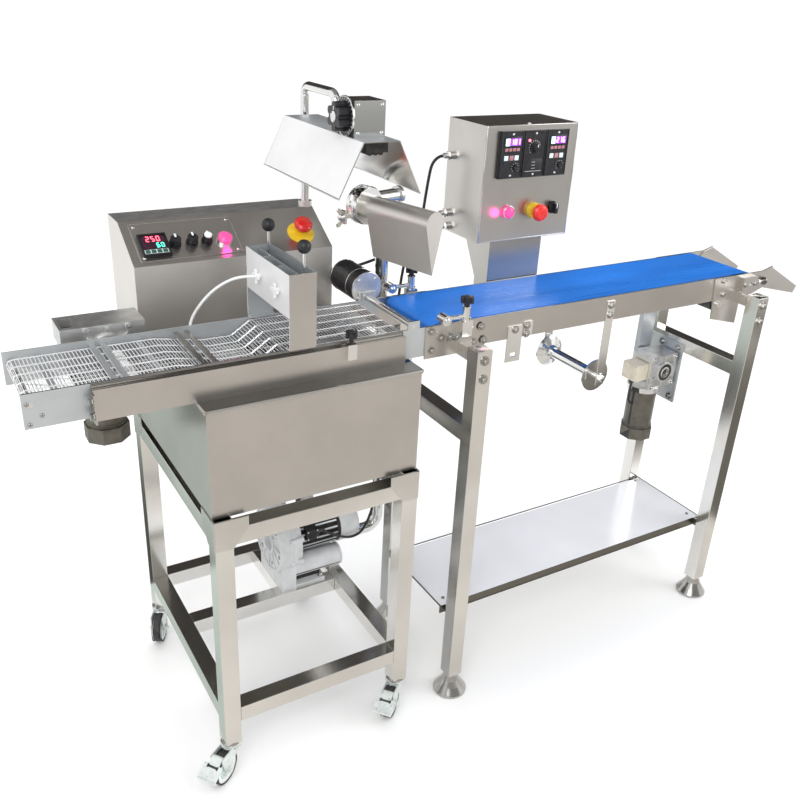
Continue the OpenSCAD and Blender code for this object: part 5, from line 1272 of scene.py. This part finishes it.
class MakeFasteners(bpy.types.Operator):
    """Set the bolts and caps of the stands, the screws, dark strips of painted shadow along the shelf edges,
    and the trough guard
    """
    bl_idname = "enrober.fasteners"
    bl_label = "Bolts and screws"

    def execute(self, context):
        d = sizes().bolt / MM
        bolts = Piece("rail_bolts").use("bolt steel")
        for x, z in SPLICE:
            bolts.hex_bolt((x, RAIL_Y0 - 3, z), FRONT, d * 0.85)
            bolts.hex_bolt((x, RAIL_Y1 + 3, z), BACK, d * 0.85)
        for x in (1471, 1509):
            bolts.hex_bolt((x, RAIL_Y0 - 17, TAIL_Z), FRONT, d * 0.7)
            bolts.hex_bolt((x, RAIL_Y1 + 17, TAIL_Z), BACK, d * 0.7)
        for y in (RAIL_Y0 - 10, RAIL_Y1 + 10):
            bolts.rod((1516, y, TAIL_Z), (1561, y, TAIL_Z), 4, 16, 0.8)
            bolts.hex_bolt((1550, y, TAIL_Z), RIGHT, d)
            bolts.hex_bolt((1531, y, TAIL_Z), LEFT, d, False)
        bolts.done("base", "bright steel")
        legs = Piece("leg_bolts").use("bolt steel")
        for x, z in product(LEG_X, (914, 872)):
            legs.hex_bolt((x, LEG_Y[0] - LEG_HALF, z), FRONT, d)
            legs.hex_bolt((x, LEG_Y[1] + LEG_HALF, z), BACK, d)
        for y, z in ((0, 914), (0, 872), (313, 914), (313, 872)):
            legs.hex_bolt((LEG_X[1] + LEG_HALF, y, z), RIGHT, d * 0.8)
        legs.done("base", "bright steel")
        caps = Piece("leg_caps").use("frame tube y")
        for x, y in product(LEG_X, LEG_Y):
            for half, low, high in ((18.9, LEG_TOP - 0.5, LEG_TOP + 1.6), (16, LEG_TOP - 11, LEG_TOP)):
                caps.block((x - half, y - half, low), (x + half, y + half, high), ROOM, 0.8)
        caps.done("base", "bright steel")
        bed = Piece("bed_screws").use("bolt steel")
        for x, z in ((-289, 958), (-267, 934), (-288, 920)):
            bed.pan_screw((x, 62, z), FRONT, 8)
            bed.pan_screw((x, 264, z), BACK, 8)
        for y, z in product((44, 282), (950, 922)):
            bed.hex_bolt((-186, y, z), LEFT, d)
        bed.done("base", "bright steel")
        plate = Piece("mount_bolts").use("bolt steel")
        for y, z in ((202, 720), (202, 570), (262, 720)):
            plate.hex_bolt((1448, y, z), LEFT, d * 0.9)
        for z in (570, 640, 720):
            plate.hex_bolt((1448, 315, z), LEFT, d)
        for z in (640, 770, 890):
            plate.pan_screw((1395, 293, z), BACK, 8)
        for y, x in product((66, 280), (600, 1466)):
            plate.pan_screw((x, y, 235), UP, 10)
        plate.done("base", "bright steel")
        # Near-black strips on the shelf's top edges: painted shadow, not a part of the shelf
        low, high = (spot_mm(v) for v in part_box("shelf"))
        trim = Piece("shelf_edges").use("folded edge")
        for y in (low.y, high.y - 2.4):
            trim.block((low.x, y, high.z - 1), (high.x, y + 2.4, high.z + 1.4), ROOM, 0.5)
        for x in (low.x, high.x - 2.4):
            trim.block((x, low.y, high.z - 1), (x + 2.4, high.y, high.z + 1.4), ROOM, 0.5)
        trim.done("base", "brushed steel")
        # Trough guard in the darker copy of the sheet: painted dark reflection along the lip
        guard = Piece("trough_guard").use("level sheet")
        guard.block((-184, 51, 967.8), (440, 62, 968.8), ROOM, 0.4)
        guard.block((-184, 61.2, 968.6), (440, 62.05, 976.6), ROOM, 0.2)
        guard.done("base", "brushed steel")
        return {"FINISHED"}


class MakeDrives(bpy.types.Operator):
    """Finish the gearboxes and motors with seals, screws, ribs and a junction box lid"""
    bl_idname = "enrober.drives"
    bl_label = "Gearmotor details"

    def execute(self, context):
        self.gearbox("conveyor_gear_details", DRIVE_ROLLER[0], 232.6, 660, -26)
        self.gearbox("bed_gear_details", SHAFT[0], 327.4, SHAFT[1], -12)
        lid = Piece("junction_lid").use("junction beige")
        lid.block((1299.5, 207.6, 639), (1303.4, 257.6, 685), ROOM, 1.2)
        lid.use("bright steel x")
        for y, z in product((212, 253), (644, 680)):
            lid.pan_screw((1299.5, y, z), LEFT, 5)
        lid.use("cable rubber")
        lid.lathe(basis((1311, 226.6, 638), (0, 0, -1)), [(7, -0.3), (7, 6), (5.5, 11), (4, 13)], 20)
        lid.done("base", "gear casting")
        round_motor = Piece("detail_motor_trim").use("bright steel y")
        x, z = DETAIL_MOTOR
        for y in (268.5, 300.5, 374.5):
            ring = [(36.8, -1.4), (37.6, -1), (37.6, 1), (36.8, 1.4)]
            round_motor.lathe(basis((x, y, z), BACK), ring, 44, False)
        for dx, dz in round_points(29, 4, 0.5):
            round_motor.pan_screw((x + dx, 268, z + dz), FRONT, 7)
        round_motor.done("base", "gear casting")
        return {"FINISHED"}

    @staticmethod
    def gearbox(name, x, y, z, off):
        """Details of a gearbox round its bore, with the motor below it at an offset."""
        parts = Piece(name).use("cast alloy")
        corner = 40.5
        for dx, dy in product((-corner, corner), (-31, 31)):
            parts.rod((x + dx, y + dy, z - 47), (x + dx, y + dy, z + 47.5), 8.2, 18, 1)
        hub = basis((x, y - 44.4, z), FRONT)
        parts.lathe(hub, [(29.5, -0.2), (29.5, 1.4), (27.5, 2.2), (24.5, 2.2), (24.5, -0.2)], 40, False)
        for turn in spokes(hub, 6, 0.5):
            parts.block((29, -4, -5.6), (46, 4, -3), turn, 1)
        parts.use("tyre rubber")
        parts.lathe(hub, [(24.4, -0.2), (24.4, 1.6), (15.5, 1.6), (15.5, -0.2)], 40, False)
        parts.use("bright steel y")
        parts.lathe(hub, [(15.4, -0.2), (15.4, 2.2), (14, 2.8), (9, 2.8), (8.5, 2.2), (8.5, -0.2)], 32, False)
        for dx, dz in product((-corner, corner), repeat=2):
            parts.lathe(basis((x + dx, y - 38.4, z + dz), FRONT),
                        [(6.2, -0.2), (6.2, 3.6), (5.4, 4.4), (3, 4.4), (3, 2), (0, 2)], 18)
        x += off
        for dx, dy in round_points(39, 4, 0.5):
            parts.rod((x + dx, y + dy, z - 63), (x + dx, y + dy, z - 46), 5.5, 14, 0.8)
        parts.use("motor paint")
        for h in (-64, -176, -172):
            ring = [(40.4, h), (41.2, h + 0.8), (41.2, h + 2.4), (40.4, h + 3)]
            parts.lathe(upright(x, y, z), ring, 48, False)
        parts.use("heater black")
        for dx, dy in round_points(42.2, 4, 0.75):
            parts.lathe(basis((x + dx, y + dy, z - 194), (dx, dy, 0)),
                        [(4.2, 0), (4.2, 1.6), (2.6, 1.6), (2.6, 0.4), (0, 0.4)], 16)
        parts.done("base", "gear casting")


class MakeBlowerTrim(bpy.types.Operator):
    """Finish the blower with its ribbed cover, lugs, fan grille, foot bolts and terminal lid"""
    bl_idname = "enrober.blower_trim"
    bl_label = "Blower details"

    def execute(self, context):
        near = basis((272, BLOW_Y, BLOW_Z), LEFT)
        cover = Piece("blower_cover").use("blower paint")
        cover.lathe(near, [(87.6, -0.2), (86.6, 3.2), (84.5, 4), (80, 4), (78.5, 3), (78, -0.2)], 56, False)
        cover.lathe(near, [(36, -0.2), (35.4, 5), (34, 6), (29, 6), (27.5, 5), (27, -0.2)], 40, False)
        for turn in spokes(near, 12):
            cover.block((34, -2.2, -0.3), (80, 2.2, 3.6), turn, 0.9)
        for dy, dz in round_points(87, 8, 0.5):
            y, z = BLOW_Y + dy, BLOW_Z + dz
            if z > 260:
                cover.rod((296, y, z), (332, y, z), 6.4, 18, 1)
        for x in (283, 306):
            cover.lathe(basis((x, BLOW_Y, BLOW_Z), RIGHT),
                        [(87.8, -3), (89.6, -2), (89.6, 2), (87.8, 3)], 56, False)
        for y in (BLOW_Y - 36, BLOW_Y + 36):
            end = basis((452, y, 235), RIGHT)
            rim = [(28.8, -6), (30.2, -5), (30.2, -1), (29, 0.6), (25, 0.6), (24, -0.2)]
            cover.lathe(end, rim, 40, False)
        cover.use("bright steel x")
        for dy, dz in round_points(66, 6, 0.25):
            cover.hex_bolt((272, BLOW_Y + dy, BLOW_Z + dz), LEFT, 8)
        for x, y in product((311, 392), (BLOW_Y - 57, BLOW_Y + 57)):
            cover.hex_bolt((x, y, 194), UP, 10)
        cover.done("base", "blower casting")
        fan = Piece("fan_grille").use("blower paint")
        end = basis((507, BLOW_Y, BLOW_Z), RIGHT)
        fan.lathe(end, [(51.2, -4), (51.8, -2), (50.6, 1.6), (47, 2.4), (45, 1.4), (45, -0.2)], 48, False)
        for r in (14, 22, 30, 38):
            fan.lathe(end, [(r - 1.8, -0.2), (r - 1.6, 2), (r + 1.6, 2), (r + 1.8, -0.2)], 44, False)
        for turn in spokes(end, 8):
            fan.block((12, -1.6, -0.2), (46, 1.6, 1.8), turn, 0.5)
        fan.use("satin alloy")
        for turn in spokes(basis((430, BLOW_Y, BLOW_Z), RIGHT), 18):
            fan.block((47.2, -2.4, -91), (49.4, 2.4, 16), turn, 0.8)
        fan.done("base", "blower casting")
        lid = Piece("terminal_lid").use("black plastic")
        lid.block((350.6, 335.6, 314.6), (385.4, 338.8, 345.4), ROOM, 1)
        lid.use("bright steel x")
        for x, z in product((355, 381), (319, 341)):
            lid.pan_screw((x, 335.6, z), FRONT, 4.5)
        lid.use("cable rubber")
        lid.lathe(basis((384, 347, 330), RIGHT), [(7.5, -0.3), (7.5, 5), (5.6, 9), (4.2, 20), (3.8, 22)], 20)
        lid.done("base", "black plastic")
        return {"FINISHED"}


class MakePipeTrim(bpy.types.Operator):
    """Finish the air pipe with its clamp rings and wing nut"""
    bl_idname = "enrober.pipe_trim"
    bl_label = "Air pipe details"

    def execute(self, context):
        knife = upright(514, 80, 1187) @ Matrix.Rotation(math.radians(15), 4, "Z")
        along = knife @ Matrix.Rotation(-math.pi / 2, 4, "X")
        trim = Piece("pipe_clamp").use("bright steel y")
        trim.lathe(along, [(37, 192), (39.4, 192), (41.4, 195), (41.4, 203), (37.5, 207), (41.4, 211),
                           (41.4, 219), (39.4, 222), (37, 222)], 48)
        trim.lathe(along, [(16.1, 228), (17.6, 229), (17.6, 231), (16.1, 232)], 32, False)
        nut = knife @ Matrix.Translation((-63, 207, -18)) @ Matrix.Rotation(-math.pi / 2, 4, "Y")
        trim.lathe(nut, [(7, -6), (7.5, 0), (6.5, 8), (4, 10), (0, 10.4)], 20)
        wing = [(5, -3), (12, 1), (19, 8), (20, 14), (15, 16), (9, 10), (4, 7)]
        for outline in ([(-x, y) for x, y in wing[::-1]], wing):
            trim.prism(nut @ Matrix.Rotation(math.pi / 2, 4, "X"), outline, -2, 2)
        trim.rod((-62, 207, -18), (-34, 207, -18), 3.4, 14, 0.5, knife)
        trim.done("base", "bright steel")
        return {"FINISHED"}


def axle_ends(caster, off):
    """Frames on both sides of a caster wheel, facing outwards along its axle."""
    return [caster @ Matrix.Translation((TRAIL, side * off, AXLE_Z))
            @ Matrix.Rotation(-side * math.pi / 2, 4, "X") for side in (-1, 1)]


class MakeCasterTrim(bpy.types.Operator):
    """Finish the casters with axle nuts, bearing covers, swivel rings and pedal pads"""
    bl_idname = "enrober.caster_trim"
    bl_label = "Caster details"

    def execute(self, context):
        for k, (at, degrees) in enumerate(zip(CASTER_SPOTS, CASTER_TURN), 1):
            caster = upright(*at) @ Matrix.Rotation(math.radians(degrees), 4, "Z")
            self.fork(k, caster)
            self.wheel(k, caster)
            if k <= 2:
                self.pedal(k, caster)
        return {"FINISHED"}

    @staticmethod
    def fork(k, caster):
        parts = Piece(f"caster_{k}_nuts").use("zinc plate")
        for place in axle_ends(caster, 16):
            parts.lathe(place, [(10, -0.2), (10, 1.4), (0, 1.4)], 22)
            parts.prism(place, round_points(7.6, 6), 1.2, 5.6)
            parts.lathe(place, [(4.1, 5), (4.1, 8), (3, 9), (0, 9)], 16)
        for low in (84.2, 79.4):
            ring = [(22.6, low - 1.6), (24.2, low - 0.8), (24.2, low + 0.8), (22.6, low + 1.6)]
            parts.lathe(caster, ring, 40, False)
        parts.done(f"caster_fork_{k}", "zinc steel")

    @staticmethod
    def wheel(k, caster):
        parts = Piece(f"caster_{k}_covers").use("hub cover")
        for place in axle_ends(caster, 9):
            parts.lathe(place, [(21.5, -0.2), (21, 1.4), (18, 2.2), (14.3, 2.2), (14.2, -0.2)], 40, False)
        parts.use("tyre rubber")
        for place in axle_ends(caster, 12):
            parts.lathe(place, [(37.3, -0.4), (37, 0.4), (35, 0.7), (33, 0.4), (32.8, -0.4)], 56, False)
        parts.done(f"caster_wheel_{k}", "wheel rubber")

    @staticmethod
    def pedal(k, caster):
        place = caster @ Matrix.Translation((50, 0, 78)) @ Matrix.Rotation(math.radians(30), 4, "Y")
        pad = Piece(f"pedal_{k}_pad").use("tyre rubber")
        pad.block((18.5, -12, 4.7), (23.5, 12, 5.5), place, 0.4)
        pad.block((17, -14, 4.7), (25, -10, 5.5), place, 0.4)
        pad.block((17, 10, 4.7), (25, 14, 5.5), place, 0.4)
        pad.use("zinc plate")
        pad.sweep([(50, -22.5, 3.5), (50, 22.5, 3.5)], 2.4, 12, place)
        pad.done(f"brake_pedal_{k}", "zinc steel")


class MakeConveyorTrim(bpy.types.Operator):
    """Finish the conveyor with spindle nuts, post collars and knob caps"""
    bl_idname = "enrober.conveyor_trim"
    bl_label = "Conveyor details"

    def execute(self, context):
        nuts = Piece("spindle_nuts").use("bright steel y")
        for y, out in ((RAIL_Y0 - 3.6, FRONT), (RAIL_Y1 + 3.6, BACK)):
            nuts.hex_bolt((SPINDLE[0], y, SPINDLE[1]), out, 15)
        nuts.done("paper_spindle", "bright steel")
        for name, y in (("front", RAIL_Y0 - 12), ("back", RAIL_Y1 + 12)):
            post = upright(GUIDE_X, y)
            collar = Piece(f"guide_collar_{name}").use("bright steel z")
            collar.lathe(post, [(9, 984), (11, 985), (11, 989), (9, 990)], 28, False)
            collar.lathe(post, [(8.9, 1010), (9.8, 1011), (9.8, 1014.2), (9, 1015)], 28, False)
            collar.hex_bolt((600, y, 966), RIGHT, 9)
            for x in (531, 543):
                ring = [(4.6, -1), (6.2, -0.5), (6.2, 2.5), (4.6, 3)]
                collar.lathe(basis((x, y, 993), RIGHT), ring, 22, False)
            for side in (-1, 1):
                collar.pan_screw((532, y + side * 12, 993), (0, side, 0), 12)
            collar.done("base", "bright steel")
            cap = Piece(f"guide_knob_cap_{name}").use("black plastic")
            cap.lathe(post, [(9.5, 1034.8), (8.6, 1036.4), (4, 1037.6), (0, 1037.8)], 24)
            cap.done(f"guide_knob_{name}", "black plastic")
        star = Piece("star_knob_cap").use("black plastic")
        star.lathe(upright(311, 44), [(8.4, 1001.8), (7.4, 1003.2), (3, 1004.2), (0, 1004.4)], 24)
        star.done("bed_star_knob", "black plastic")
        return {"FINISHED"}


class EnroberPanel(bpy.types.Panel):
    """List of the makers of this machine"""
    bl_idname = "VIEW3D_PT_enrober"
    bl_label = "Chocolate enrober"
    bl_space_type = "VIEW_3D"
    bl_region_type = "UI"
    bl_category = "Enrober"

    def draw(self, context):
        for maker in MAKERS:
            self.layout.operator(maker.bl_idname, text=maker.bl_label)
        scene = context.scene
        for group in (scene.enrober_sizes, scene.enrober_colours, scene.enrober_stage):
            column = self.layout.column()
            for name in group.bl_rna.properties.keys():
                if name not in ("rna_type", "name"):
                    column.prop(group, name)


MAKERS = (MakeStage, MakeCords, DressFrame, MakeMesh, MakeInstruments, MakeSpeedFace, MakeLampTrim,
          MakeFasteners, MakeDrives, MakeBlowerTrim, MakePipeTrim, MakeCasterTrim, MakeConveyorTrim)
GROUPS = (EnroberColours, EnroberSizes, EnroberStage)


def register():
    for item in GROUPS + MAKERS + (EnroberPanel,):
        bpy.utils.register_class(item)
    bpy.types.Scene.enrober_colours = bpy.props.PointerProperty(type=EnroberColours)
    bpy.types.Scene.enrober_sizes = bpy.props.PointerProperty(type=EnroberSizes)
    bpy.types.Scene.enrober_stage = bpy.props.PointerProperty(type=EnroberStage)


def unregister():
    for name in ("enrober_stage", "enrober_sizes", "enrober_colours"):
        delattr(bpy.types.Scene, name)
    for item in reversed(GROUPS + MAKERS + (EnroberPanel,)):
        bpy.utils.unregister_class(item)


def main():
    register()
    for maker in MAKERS:
        group, name = maker.bl_idname.split(".")
        getattr(getattr(bpy.ops, group), name)()


if __name__ == "__main__":
    main()
